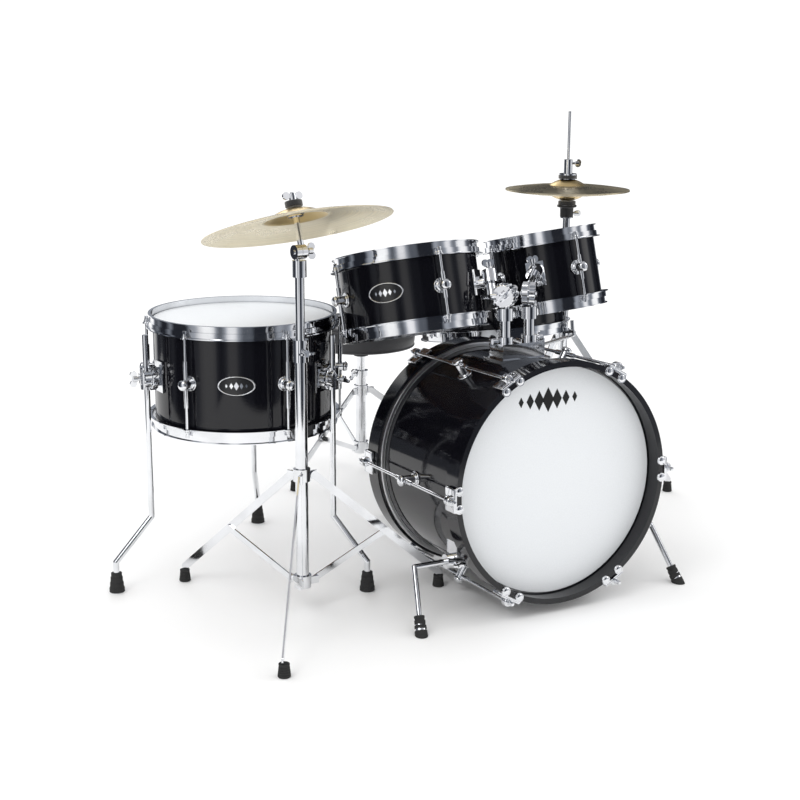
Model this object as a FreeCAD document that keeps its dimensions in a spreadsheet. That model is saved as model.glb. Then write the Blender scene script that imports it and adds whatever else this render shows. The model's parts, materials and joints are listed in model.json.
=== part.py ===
"""Junior five-piece acoustic drum kit with stands, throne and pedals.

The kit stands on the floor plane z = 0.  +Z is up, +X points to the player's left, +Y from the audience
towards the player.  Positions below are measured on the floor from under the middle of the bass drum's
front hoop; the two origin_shift cells then move every node so that the origin is the middle of the kit.
"""
import FreeCAD, Part
import math
import os

import Sketcher
from FreeCAD import Placement, Rotation, Vector

# Driving dimensions in millimetres and degrees; every size below is bound to these cells.
DIMENSIONS = {
    "origin_shift_east": 24.8, "origin_shift_north": -601.97,
    # bass drum
    "bass_shell_radius": 203.2, "bass_length": 329.0, "bass_tilt": 2.3, "bass_centre_height": 232.8,
    "bass_hoop_width": 38.0, "bass_hoop_inner": 206.0, "bass_hoop_outer": 216.0, "bass_head_recess": 30.2,
    "bass_rod_radius": 226.0, "bass_lug_count": 6, "spur_rod_radius": 5.0, "spur_axis_height": 98.0,
    "spur_reach": 262.0, "spur_foot_forward": 62.0,
    # shells, hoops and lugs shared by the four smaller drums
    "shell_wall": 6.0, "hoop_height": 24.0, "hoop_sheet": 1.6, "film": 0.8, "rod_offset": 13.0,
    "tension_rod_radius": 2.6, "lug_post_radius": 8.0, "lug_reach": 24.0,
    "tom_left_radius": 127.0, "tom_right_radius": 101.6, "tom_depth": 129.0,
    "floor_tom_radius": 165.1, "floor_tom_depth": 186.5, "floor_tom_bottom": 287.2,
    "floor_tom_leg_offset": 27.0, "floor_tom_leg_radius": 5.5, "floor_tom_foot_radius": 264.0,
    "snare_radius": 152.4, "snare_depth": 88.0,
    # tom holder
    "tom_post_radius": 9.5, "tom_post_spacing": 51.0, "tom_post_setback": 152.0, "tilter_radius": 19.0,
    "arm_radius": 8.0, "running_gap": 0.08,
    # stands
    "strip_width": 14.0, "strip_sheet": 3.0, "boot_height": 20.0, "boot_radius": 10.5,
    "stand_tube_radius": 11.0, "stand_inner_radius": 8.0, "crash_radius": 162.0, "crash_tilt": 17.2,
    "crash_stand_foot": 273.0, "crash_pivot_height": 636.0, "cymbal_sheet": 1.2,
    "hat_radius": 136.5, "hat_height": 675.5, "hat_foot": 250.0, "hat_rod_top": 845.0, "hat_rod_radius": 3.0,
    "hat_rod_free": 80.0, "hat_rod_neck": 2.2, "hat_rod_groove": 1.5,
    "throne_foot": 252.0, "seat_radius": 128.0, "seat_thickness": 70.0, "seat_bottom": 294.0,
    "snare_foot": 150.0,
    # pedals
    "pedal_length": 225.0, "pedal_width": 68.0, "beater_reach": 92.0,
}

doc = FreeCAD.newDocument("DrumKit")
sheet = doc.addObject("Spreadsheet::Sheet", "dims")
for row, (alias, value) in enumerate(DIMENSIONS.items(), start=1):
    sheet.set(f"A{row}", alias)
    sheet.set(f"B{row}", str(value))
    sheet.setAlias(f"B{row}", alias)
doc.recompute()


class Size:
    """A number together with the sheet expression that drives it."""

    def __init__(self, text, value):
        self.text = text
        self.value = float(value)

    def _join(self, sign, other, value):
        return Size(f"({self.text} {sign} {other.text})", value)

    def __add__(self, other):
        other = as_size(other)
        return self._join("+", other, self.value + other.value)

    def __sub__(self, other):
        other = as_size(other)
        return self._join("-", other, self.value - other.value)

    def __mul__(self, other):
        other = as_size(other)
        return self._join("*", other, self.value * other.value)

    def __truediv__(self, other):
        other = as_size(other)
        return self._join("/", other, self.value / other.value)

    def __rsub__(self, other):
        return as_size(other) - self

    __radd__ = __add__
    __rmul__ = __mul__

    def __float__(self):
        return self.value


def as_size(value):
    return value if isinstance(value, Size) else Size(f"{value:.6g}", value)


def dim(alias):
    """The named cell of the sheet."""
    return Size(f"dims.{alias}", sheet.get(alias))


# ---------------------------------------------------------------- building blocks
UP = Vector(0, 0, 1)
used_names = {}
nodes = []


def fresh(name):
    """A document name that has not been used yet."""
    used_names[name] = used_names.get(name, 0) + 1
    return f"{name}_{used_names[name]}"


def place(at=(0, 0, 0), axis=UP, facing=None):
    """Placement at a point, with local Z along axis and local X as near as possible to facing."""
    at = Vector(*[float(value) for value in at])
    z_dir = Vector(axis).normalize()
    if facing is None:
        return Placement(at, Rotation(UP, z_dir))
    return Placement(at, Rotation(Vector(facing), Vector(0, 0, 0), z_dir, "ZXY"))


def bind(obj, sizes):
    for prop, value in sizes.items():
        if isinstance(value, Size):
            obj.setExpression(prop, value.text)
        else:
            setattr(obj, prop, value)
    return obj


def solid(kind, name, at=(0, 0, 0), axis=UP, facing=None, **sizes):
    """A Part primitive whose sizes follow the sheet."""
    obj = bind(doc.addObject(f"Part::{kind}", fresh(name)), sizes)
    obj.Placement = place(at, axis, facing)
    return obj


def cylinder(name, at, axis, radius, height):
    return solid("Cylinder", name, at, axis, Radius=radius, Height=height)


def cone(name, at, axis, start, end, height):
    return solid("Cone", name, at, axis, Radius1=start, Radius2=end, Height=height)


def ball(name, at, radius):
    return solid("Sphere", name, at, Radius=radius)


def block(name, centre, size, axis=UP, facing=(1, 0, 0)):
    """A box given by its centre, its three sizes and its own Z and X directions."""
    obj = doc.addObject("Part::Box", fresh(name))
    bind(obj, dict(zip(("Length", "Width", "Height"), size)))
    half = Vector(*[-float(value) / 2 for value in size])
    obj.Placement = place(centre, axis, facing) * Placement(half, Rotation())
    return obj


def fuse(name, parts):
    obj = doc.addObject("Part::MultiFuse", fresh(name))
    obj.Shapes = parts
    return obj


def cut(name, base, tools):
    obj = doc.addObject("Part::Cut", fresh(name))
    obj.Base = base
    obj.Tool = tools[0] if len(tools) == 1 else fuse(name + "Tools", tools)
    return obj


def common(name, parts):
    obj = doc.addObject("Part::MultiCommon", fresh(name))
    obj.Shapes = parts
    return obj


def tube(name, at, axis, outer, inner, height):
    along = Vector(axis).normalize()
    start = Vector(*[float(value) for value in at])
    bore = cylinder(name + "Bore", start - along, axis, inner, as_size(height) + 2)
    return cut(name, cylinder(name + "Wall", start, axis, outer, height), [bore])


def node(label, parts, placement=None):
    """One named sub-part made of one or more solids, moved as a whole by its placement."""
    obj = doc.addObject("Part::Compound", "Node_" + label)
    obj.Links = parts
    obj.Label = label
    shift = Vector(float(dim("origin_shift_east")), float(dim("origin_shift_north")), 0)
    obj.Placement = Placement(shift, Rotation()) * (placement or Placement())
    nodes.append(obj)
    return obj


def revolved(name, profile, at=(0, 0, 0), axis=UP):
    """A body turned about its own Z axis from (radius, height) corners, none of them negative."""
    body = doc.addObject("PartDesign::Body", fresh(name))
    sketch = body.newObject("Sketcher::SketchObject", fresh(name + "Profile"))
    plane = next(item for item in body.Origin.OriginFeatures if item.Role == "XZ_Plane")
    sketch.AttachmentSupport = (plane, [""])
    sketch.MapMode = "FlatFace"
    corners = [(as_size(radius), as_size(height)) for radius, height in profile]
    count = len(corners)
    for index in range(count):
        ends = [Vector(float(r), float(z), 0) for r, z in (corners[index], corners[(index + 1) % count])]
        sketch.addGeometry(Part.LineSegment(*ends))
    for index in range(count):
        sketch.addConstraint(Sketcher.Constraint("Coincident", index, 2, (index + 1) % count, 1))
    for index, (radius, height) in enumerate(corners):
        for kind, value, zero_axis in (("DistanceX", radius, -2), ("DistanceY", height, -1)):
            if float(value) == 0:
                sketch.addConstraint(Sketcher.Constraint("PointOnObject", index, 1, zero_axis))
                continue
            number = sketch.addConstraint(Sketcher.Constraint(kind, -1, 1, index, 1, float(value)))
            sketch.setExpression(f"Constraints[{number}]", value.text)
    turn = body.newObject("PartDesign::Revolution", fresh(name + "Turn"))
    turn.Profile = sketch
    turn.ReferenceAxis = (sketch, ["V_Axis"])
    turn.Angle = 360
    body.Placement = place(at, axis)
    return body


def polar(radius, angle, height=0.0):
    """A point on a circle about Z; the angle is in degrees from +X."""
    turn = math.radians(float(angle))
    return Vector(float(radius) * math.cos(turn), float(radius) * math.sin(turn), float(height))


def rod_chain(name, points, radius):
    """A round rod through the points, with ball-shaped bends."""
    parts = []
    for start, end in zip(points, points[1:]):
        parts.append(cylinder(name + "Run", start, end - start, radius, (end - start).Length))
    parts += [ball(name + "Bend", point, radius) for point in points[1:-1]]
    return fuse(name, parts)


def wing_screw(name, at, axis, span, reach=14.0, stem=3.6):
    """A clamping screw with a flat two-winged head; local Z points outwards."""
    axis = Vector(axis).normalize()
    at = Vector(*at)
    stalk = cylinder(name + "Stalk", at, axis, stem, reach)
    hub = cylinder(name + "Hub", at + axis * (reach - 4), axis, stem + 2.2, 8)
    across = Rotation(UP, axis).multVec(Vector(1, 0, 0))
    thin = axis.cross(across)
    head = at + axis * (reach + 3)
    web = block(name + "Web", head, (max(span - 12, 6), 3.2, 7), axis, across)
    lobes = [cylinder(name + "Wing", head + across * (side * (span / 2 - 5.5)) - thin * 1.6, thin, 6.5, 3.2)
             for side in (-1, 1)]
    return fuse(name, [stalk, hub, web] + lobes)


# ---------------------------------------------------------------- the smaller drums
def drum_hoop(name, radius, lug_angles):
    """A triple-flanged steel hoop standing on its ears, with a hole in each ear for a tension rod."""
    height = dim("hoop_height")
    sheet_gauge = dim("hoop_sheet")
    ring = revolved(name + "Ring", [
        (radius + 2.6, height), (radius + 8, height), (radius + 8, height - sheet_gauge),
        (radius + 4.2, height - sheet_gauge), (radius + 4.2, height / 2 - 0.4), (radius + 7.6, height / 2 - 0.4),
        (radius + 7.6, sheet_gauge + 1), (radius + 13, sheet_gauge), (radius + 13, 0), (radius + 6, 0.8),
        (radius + 6, height / 2 - 2), (radius + 2.6, height / 2 - 2)])
    ears = [cylinder(name + "Ear", polar(radius + dim("rod_offset"), angle), UP, 7, sheet_gauge + 0.2)
            for angle in lug_angles]
    holes = [cylinder(name + "Hole", polar(radius + dim("rod_offset"), angle, -1), UP,
                      dim("tension_rod_radius") + 0.6, 6) for angle in lug_angles]
    return cut(name, fuse(name + "Eared", [ring] + ears), holes)


def drum_head(name, radius):
    """A film stretched over the bearing edge, crimped in its own ring; stands on the ring."""
    return revolved(name, [
        (0, 8.1), (0, dim("film") + 8.1), (radius + 1.1, dim("film") + 8.1), (radius + 1.1, 5.6),
        (radius + 5.6, 5.6), (radius + 5.6, 0), (radius + 0.3, 0), (radius + 0.3, 8.1)])


def drum_lug(radius, angle, depth, edge, swivel):
    """A single-point lug at mid height with its swivel nut and the two tension rods it holds."""
    outwards = polar(1, angle)
    middle = edge + depth / 2
    rod = dim("rod_offset")
    parts = [
        cylinder("LugBase", polar(radius + 0.05, angle, middle), outwards, 12.5, 3),
        cylinder("LugPost", polar(radius + 2, angle, middle), outwards, dim("lug_post_radius"), dim("lug_reach") - 2),
        cylinder("LugSwivel", polar(radius + rod, angle, middle - swivel / 2), UP, 4.2, swivel),
        cylinder("LugRod", polar(radius + rod, angle, edge + 9.3), UP, dim("tension_rod_radius"), depth - 18.6),
        cylinder("RodHead", polar(radius + rod, angle, edge + depth - 9.3), UP, 3.6, 7),
        cylinder("RodHead", polar(radius + rod, angle, edge + 2.3), UP, 3.6, 7)]
    return fuse("Lug", parts)


def oval_badge(radius, angle, height):
    """A thin oval plate bent to the shell."""
    skin = tube("BadgeSkin", (0, 0, float(height) - 20), UP, radius + 1.1, radius + 0.1, 40)
    outline = doc.addObject("Part::Ellipse", fresh("BadgeOutline"))
    outline.MajorRadius = 19
    outline.MinorRadius = 10
    outline.Placement = place(polar(radius - 5, angle, height), polar(1, angle), Vector(0, 0, 1).cross(polar(1, angle)))
    plug = doc.addObject("Part::Extrusion", fresh("BadgePlug"))
    plug.Base = outline
    plug.DirMode = "Custom"
    plug.Dir = polar(1, angle)
    plug.LengthFwd = 12
    plug.Solid = True
    return common("Badge", [skin, plug])


def small_drum(prefix, radius, depth, lug_angles, placement, swivel, badge_angle=None, extras=()):
    """Shell, two heads, two hoops and the lugs; local z = 0 is the bottom hoop's lower lip."""
    edge = dim("hoop_height") / 2
    top = edge + depth
    node(prefix + "_shell", [tube("Shell", (0, 0, float(edge)), UP, radius, radius - dim("shell_wall"), depth)],
         placement)
    flip = Rotation(Vector(1, 0, 0), 180)
    heads = [drum_head(prefix + "Head", radius) for _ in range(2)]
    heads[0].Placement = place((0, 0, float(top) - 8))
    heads[1].Placement = Placement(Vector(0, 0, float(edge) + 8), flip)
    node(prefix + "_heads", heads, placement)
    mirrored = [-angle for angle in lug_angles]
    hoops = [drum_hoop(prefix + "Hoop", radius, lug_angles), drum_hoop(prefix + "Hoop", radius, mirrored)]
    hoops[0].Placement = place((0, 0, float(top - edge)))
    hoops[1].Placement = Placement(Vector(0, 0, float(edge) * 2), flip)
    node(prefix + "_hoops", hoops, placement)
    metal = [drum_lug(radius, angle, depth, edge, swivel) for angle in lug_angles]
    if badge_angle is not None:
        metal.append(oval_badge(radius, badge_angle, edge + depth / 2))
    node(prefix + "_lugs", metal + list(extras), placement)


# ---------------------------------------------------------------- bass drum
bass_tilt = math.radians(float(dim("bass_tilt")))
bass_axis = Vector(0, math.cos(bass_tilt), -math.sin(bass_tilt))
bass_up = Vector(0, math.sin(bass_tilt), math.cos(bass_tilt))
# Local Z runs from the front hoop's face to the rear; local -Y is up.
bass_place = place((0, 0, dim("bass_centre_height")), bass_axis, (1, 0, 0))
lug_step = 360.0 / float(dim("bass_lug_count"))
bass_angles = [index * lug_step for index in range(int(float(dim("bass_lug_count"))))]


def bass_point(x, along, up):
    """World position of a point given across, along and above the bass drum's axis."""
    return Vector(0, 0, float(dim("bass_centre_height"))) + Vector(x, 0, 0) + bass_axis * along + bass_up * up


def bass_drum():
    shell_radius = dim("bass_shell_radius")
    length = dim("bass_length")
    recess = dim("bass_head_recess")
    shell = tube("BassShell", (0, 0, recess + 1), UP, shell_radius, shell_radius - dim("shell_wall"),
                 length - 2 * recess - 2)
    half_spacing = float(dim("tom_post_spacing")) / 2
    post_hole = [cylinder("PostHole", (side * half_spacing, -float(shell_radius) - 4, dim("tom_post_setback")),
                          (0, 1, 0), dim("tom_post_radius") + 0.8, 16) for side in (-1, 1)]
    node("bass_shell", [cut("BassShellCut", shell, post_hole)], bass_place)

    for label, start, step in (("bass_head_front", recess, 1), ("bass_head_rear", length - recess, -1)):
        head = revolved("BassHead", [
            (0, 16), (0, 15.2), (shell_radius + 0.3, 15.2), (shell_radius + 0.3, 0), (shell_radius + 8, 0),
            (shell_radius + 8, 7.8), (shell_radius + 1.3, 7.8), (shell_radius + 1.3, 16)])
        face = Rotation(Vector(1, 0, 0), 180) if step > 0 else Rotation()
        head.Placement = Placement(Vector(0, 0, float(start) + 16 * step), face)
        node(label, [head], bass_place)

    hoops = [tube("BassHoop", (0, 0, start), UP, dim("bass_hoop_outer"), dim("bass_hoop_inner"),
                  dim("bass_hoop_width")) for start in (as_size(0), length - dim("bass_hoop_width"))]
    node("bass_hoops", hoops, bass_place)

    rod_line = dim("bass_rod_radius")
    lugs = []
    for angle in bass_angles:
        outwards = polar(1, angle)
        parts = [
            cylinder("LugBase", polar(shell_radius + 0.05, angle, length / 2), outwards, 12.5, 3),
            cylinder("LugPost", polar(shell_radius + 2, angle, length / 2), outwards, dim("lug_post_radius"),
                     rod_line - shell_radius + 7),
            cylinder("LugSwivel", polar(rod_line, angle, length / 2 - 28), UP, 4.6, 56),
            cylinder("LugRod", polar(rod_line, angle, -4), UP, 2.9, length + 8),
            cylinder("RodHead", polar(rod_line, angle, -8), UP, 4.4, 9),
            cylinder("RodHead", polar(rod_line, angle, length - 1), UP, 4.4, 9)]
        lugs.append(fuse("BassLug", parts))
    node("bass_lugs", lugs, bass_place)

    claws = []
    for angle in bass_angles:
        for front in (True, False):
            claws.append(bass_claw(angle, front))
    node("bass_claws", claws, bass_place)


def bass_claw(angle, front):
    """A claw hook: a saddle over the hoop, two round lobes on its face and an ear for the rod."""
    outer = dim("bass_hoop_outer")
    outwards = polar(1, angle)
    across = UP.cross(outwards)
    face = 0.0 if front else float(dim("bass_length"))
    step = 1 if front else -1
    parts = [block("ClawSaddle", polar(outer + 2.4, angle, face + step * 12), (3, 42, 30), UP, outwards)]
    for side in (-1, 1):
        centre = polar(outer - 5, angle, face - step * 0.3) + across * (side * 15.5)
        parts.append(cylinder("ClawLobe", centre, UP * -step, 8, 2.7))
        bridge = polar(outer - 1, angle, face - step * 1.65) + across * (side * 15.5)
        parts.append(block("ClawBridge", bridge, (9.8, 11, 2.7), UP, outwards))
    ear = polar(dim("bass_rod_radius"), angle, face + step * 6)
    parts.append(cylinder("ClawEar", ear - UP * 5, UP, 8, 10))
    hole = cylinder("ClawHole", ear - UP * 7, UP, 3.5, 14)
    return cut("Claw", fuse("ClawBody", parts), [hole])


SPUR_ALONG = 75.0       # distance of the spur rods behind the front hoop's face


def spurs():
    """Two folding spur legs, each a bent rod in a shell bracket with a clamping screw."""
    rod_radius = dim("spur_rod_radius")
    centre_height = float(dim("bass_centre_height"))
    drop = centre_height - SPUR_ALONG * math.sin(bass_tilt) - float(dim("spur_axis_height"))
    shell_x = math.sqrt(float(dim("bass_shell_radius")) ** 2 - drop ** 2)
    reach = float(dim("spur_reach"))
    brackets = []
    for label, side in (("spur_left", 1), ("spur_right", -1)):
        pivot = Vector(side * (shell_x + 20), SPUR_ALONG, float(dim("spur_axis_height")))
        sideways = Vector(side, 0, 0)
        boss = tube("SpurBoss", pivot - sideways * 12, sideways, 13, rod_radius + dim("running_gap"), 30)
        root = Vector(side * (shell_x + 8.5), SPUR_ALONG, float(dim("spur_axis_height")) + 18)
        plate = block("SpurPlate", root + Vector(side * 6.5, 0, 6), (20, 34, 26), UP, sideways)
        clear = cylinder("SpurShellClear", bass_point(0, -5, 0), bass_axis, dim("bass_shell_radius") + 0.3, 200)
        rod_hole = cylinder("SpurRodHole", pivot - sideways * 40, sideways, rod_radius + dim("running_gap"), 90)
        body = cut("SpurBracket", fuse("SpurBracketBody", [boss, plate]), [clear, rod_hole])
        screw = wing_screw("SpurScrew", pivot + sideways * 5 - Vector(0, 13.1, 0), Vector(0, -1, 0), 24, reach=10)
        brackets += [body, screw]
        elbow = Vector(side * (reach - 8), SPUR_ALONG, pivot.z)
        foot = Vector(side * (reach + 12), SPUR_ALONG - float(dim("spur_foot_forward")), 4)
        down = (foot - elbow).normalize()
        tip_top = foot - down * 24
        rod = rod_chain("SpurRod", [pivot - sideways * 12, elbow, tip_top + down * 0.5], rod_radius)
        tip = cone("SpurTip", foot - down * 24.2 + down * 0.9, down, 8, 10.5, 22)
        tip_bore = cylinder("SpurTipBore", foot - down * 26, down, rod_radius + 0.02, 3.6)
        floor = block("SpurFloorCut", foot - Vector(0, 0, 24), (60, 60, 40))
        pad = cut("SpurPad", tip, [tip_bore, floor])
        node(label, [rod, pad])
    node("spur_brackets", brackets)


# ---------------------------------------------------------------- tom holder and toms
POST_TOP = 322.0        # height of the post tops above the bass drum's axis line
post_axis = bass_up


def post_point(side, up):
    """A point on a tom post; side is -1 for the larger tom and +1 for the smaller one."""
    return bass_point(side * float(dim("tom_post_spacing")) / 2, float(dim("tom_post_setback")), up)


def tom_holder():
    """The saddle on top of the bass drum with its two clamping collars."""
    base_up = float(dim("bass_shell_radius"))
    post_radius = dim("tom_post_radius")
    setback = float(dim("tom_post_setback"))
    saddle = block("Saddle", bass_point(0, setback, base_up + 12), (88, 46, 30), bass_up)
    foot = block("SaddleFoot", bass_point(0, setback, base_up - 4), (104, 60, 8), bass_up)
    collars = [cylinder("Collar", post_point(side, base_up + 20), bass_up, post_radius + 5, 18) for side in (-1, 1)]
    clear = cylinder("SaddleClear", bass_point(0, setback - 60, 0), bass_axis, dim("bass_shell_radius") + 0.2, 120)
    bores = [cylinder("SaddleBore", post_point(side, base_up - 20), bass_up, post_radius + dim("running_gap"), 80)
             for side in (-1, 1)]
    body = cut("SaddleCast", fuse("SaddleBody", [saddle, foot] + collars), [clear] + bores)
    screws = [wing_screw("SaddleScrew", post_point(side, base_up + 31) + Vector(side * 14.6, 0, 0), (side, 0, 0), 22,
                         reach=9) for side in (-1, 1)]
    node("tom_holder", [body] + screws)


def normal_from_tilt(back, sideways):
    """Unit axis leaning back towards the player and sideways towards -X, both in degrees."""
    return Vector(-math.tan(math.radians(sideways)), math.tan(math.radians(back)), 1).normalize()


def rack_tom(prefix, side, radius, centre, axis, lug_start, bracket_angle, badge_angle):
    """A tom with its post, tilter, arm and shell bracket; centre is the middle of the drum."""
    depth = dim("tom_depth")
    half_height = float(depth) / 2 + float(dim("hoop_height")) / 2
    base = centre - axis * half_height
    placement = Placement(base, Rotation(UP, axis))
    lug_angles = [lug_start + 90 * index for index in range(4)]
    small_drum(prefix, radius, depth, lug_angles, placement, 46, badge_angle)

    pivot = post_point(side, POST_TOP - 7)
    outwards = placement.Rotation.multVec(polar(1, bracket_angle))
    on_shell = centre + outwards * float(radius)
    reach = on_shell - pivot
    level = Vector(reach.x, reach.y, 0).normalize()
    hinge = UP.cross(level)
    arm_radius = dim("arm_radius")
    cheek = dim("tilter_radius")

    post = cylinder("TomPost", post_point(side, 150), bass_up, dim("tom_post_radius"), 140)
    clamp = cylinder("TilterClamp", post_point(side, 270.5), bass_up, 14, 22)
    neck = cylinder("TilterNeck", post_point(side, 280) - hinge * 6.3, bass_up, 5.5, 30)
    disc = cylinder("TilterDisc", pivot - hinge * 12.3, hinge, cheek, 12)
    pin = cylinder("TilterPin", pivot - hinge * 14, hinge, 4, 30)
    node(prefix + "_post", [fuse("TomPostBody", [post, clamp, neck, disc, pin])])

    eye = cylinder("ArmEye", pivot + hinge * 0.3, hinge, cheek, 12)
    start = pivot + hinge * 9.2
    shoulder = start + level * (float(cheek) + 2)
    seat = on_shell + outwards * 26
    arm_dir = (seat - shoulder).normalize()
    arm = rod_chain("Arm", [start + level * 10, shoulder, seat + arm_dir * 16], arm_radius)
    bore = cylinder("ArmBore", pivot - hinge * 1, hinge, 4 + dim("running_gap"), 20)
    arm_body = cut("ArmBody", fuse("ArmFused", [eye, arm]), [bore])
    clamp_ring = tube("BracketBoss", seat - arm_dir * 6, arm_dir, arm_radius + 6, arm_radius + 0.15, 24)
    neck = cylinder("BracketNeck", on_shell + outwards * 2, outwards, 11, 16)
    plate = block("BracketPlate", on_shell + outwards * 2.15, (46, 34, 4), outwards, axis)
    bracket = cut("Bracket", fuse("BracketBody", [clamp_ring, neck, plate]),
                  [cylinder("BracketBore", seat - arm_dir * 20, arm_dir, arm_radius + 0.15, 40)])
    screw = wing_screw("BracketScrew", seat + arm_dir * 6 + axis * 14.2, axis, 22, reach=9)
    knob = wing_screw("TilterKnob", pivot + hinge * 16.2, hinge, 30, reach=9)
    keyhole = cut("TilterNut", knob, [cylinder("KnobBore", pivot - hinge, hinge, 4 + dim("running_gap"), 19)])
    node(prefix + "_arm", [arm_body, bracket, screw, keyhole])


# ---------------------------------------------------------------- floor tom
FLOOR_TOM = Vector(-407.8, 460.6, 0)
FLOOR_TOM_LUGS = 33.7


def floor_tom():
    radius = dim("floor_tom_radius")
    depth = dim("floor_tom_depth")
    placement = Placement(FLOOR_TOM + Vector(0, 0, float(dim("floor_tom_bottom"))), Rotation())
    lug_angles = [FLOOR_TOM_LUGS + 60 * index for index in range(6)]
    offset = dim("floor_tom_leg_offset")
    leg_radius = dim("floor_tom_leg_radius")
    bracket_height = float(dim("floor_tom_bottom")) + 105
    drum_base = UP * float(dim("floor_tom_bottom"))
    leg_line = float(radius + offset)
    brackets = []
    for index in range(3):
        angle = FLOOR_TOM_LUGS + 30 + 120 * index
        outwards = polar(1, angle)
        anchor = FLOOR_TOM + polar(radius, angle, bracket_height)
        plate = block("LegPlate", anchor + outwards * 2.1, (4, 34, 56), UP, outwards)
        neck = block("LegNeck", anchor + outwards * 14, (24, 20, 30), UP, outwards)
        boss = cylinder("LegBoss", anchor + outwards * float(offset) - UP * 20, UP, 12, 40)
        bore = cylinder("LegBore", anchor + outwards * float(offset) - UP * 40, UP, leg_radius + dim("running_gap"), 80)
        screw = wing_screw("LegScrew", anchor + outwards * (float(offset) + 11.9), outwards, 28, reach=10)
        body = cut("LegBracket", fuse("LegBracketBody", [plate, neck, boss]), [bore])
        for piece in (body, screw):
            piece.Placement = Placement(-FLOOR_TOM - drum_base, Rotation()) * piece.Placement
            brackets.append(piece)
        foot_radius = float(dim("floor_tom_foot_radius"))
        path = [FLOOR_TOM + polar(leg_line, angle, 470), FLOOR_TOM + polar(leg_line, angle, 132),
                FLOOR_TOM + polar(foot_radius, angle, 56), FLOOR_TOM + polar(foot_radius, angle, 8)]
        leg = rod_chain("FloorTomLeg", path, leg_radius)
        tip_bore = cylinder("TipBore", FLOOR_TOM + polar(foot_radius, angle, 7.8), UP, leg_radius + 0.05, 40)
        tip = cut("Tip", cone("TipCone", FLOOR_TOM + polar(foot_radius, angle), UP, 13.5, 8.5, 34), [tip_bore])
        node(f"floor_tom_leg_{index + 1}", [leg, tip])
    small_drum("floor_tom", radius, depth, lug_angles, placement, 84, FLOOR_TOM_LUGS + 210, brackets)


# ---------------------------------------------------------------- tripods
def tripod(name, centre, first_angle, foot_radius, top_height, low_height, tube_radius, brace_share):
    """Three flat strips with braces; returns the strips, the boots and the ears for the castings."""
    width = dim("strip_width")
    gauge = dim("strip_sheet")
    strips = []
    boots = []
    upper_ears = []
    lower_ears = []
    for index in range(3):
        angle = first_angle + 120 * index
        outwards = polar(1, angle)
        across = UP.cross(outwards)
        leg_side = across * -1.8
        brace_side = across * 1.8
        pivot = centre + polar(float(tube_radius) + 12, angle, top_height)
        ankle = centre + polar(foot_radius, angle, float(dim("boot_height")) + 8)
        strips.append(strip(name + "Leg", pivot + leg_side, ankle + leg_side, width, gauge, across))
        knee = pivot + (ankle - pivot) * brace_share
        hinge = centre + polar(float(tube_radius) + 11, angle, low_height)
        strips.append(strip(name + "Brace", hinge + brace_side, knee + brace_side, width - 3, gauge, across))
        boots.append(cone(name + "Boot", centre + polar(foot_radius, angle), UP, dim("boot_radius"), 8,
                          dim("boot_height")))
        ear = centre + polar(float(tube_radius) + 8, angle)
        upper_ears.append(block(name + "Ear", ear + UP * top_height + across * 2.2, (20, 3.6, 15), UP, outwards))
        lower_ears.append(block(name + "Ear", ear + UP * low_height - across * 2.2, (20, 3.6, 13), UP, outwards))
    return strips, boots, upper_ears, lower_ears


def strip(name, start, end, width, gauge, across):
    """A flat bar with round ends from start to end, thin along across."""
    span = end - start
    bar = block(name + "Bar", (start + end) / 2, (span.Length, width, gauge), across, span)
    ends = [cylinder(name + "End", point - Vector(across) * (float(gauge) / 2), across, width / 2, gauge)
            for point in (start, end)]
    return fuse(name, [bar] + ends)


CRASH_STAND = Vector(-407, 203, 0)
CRASH_LEAN = 98.4       # compass direction in which the crash leans back


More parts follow.
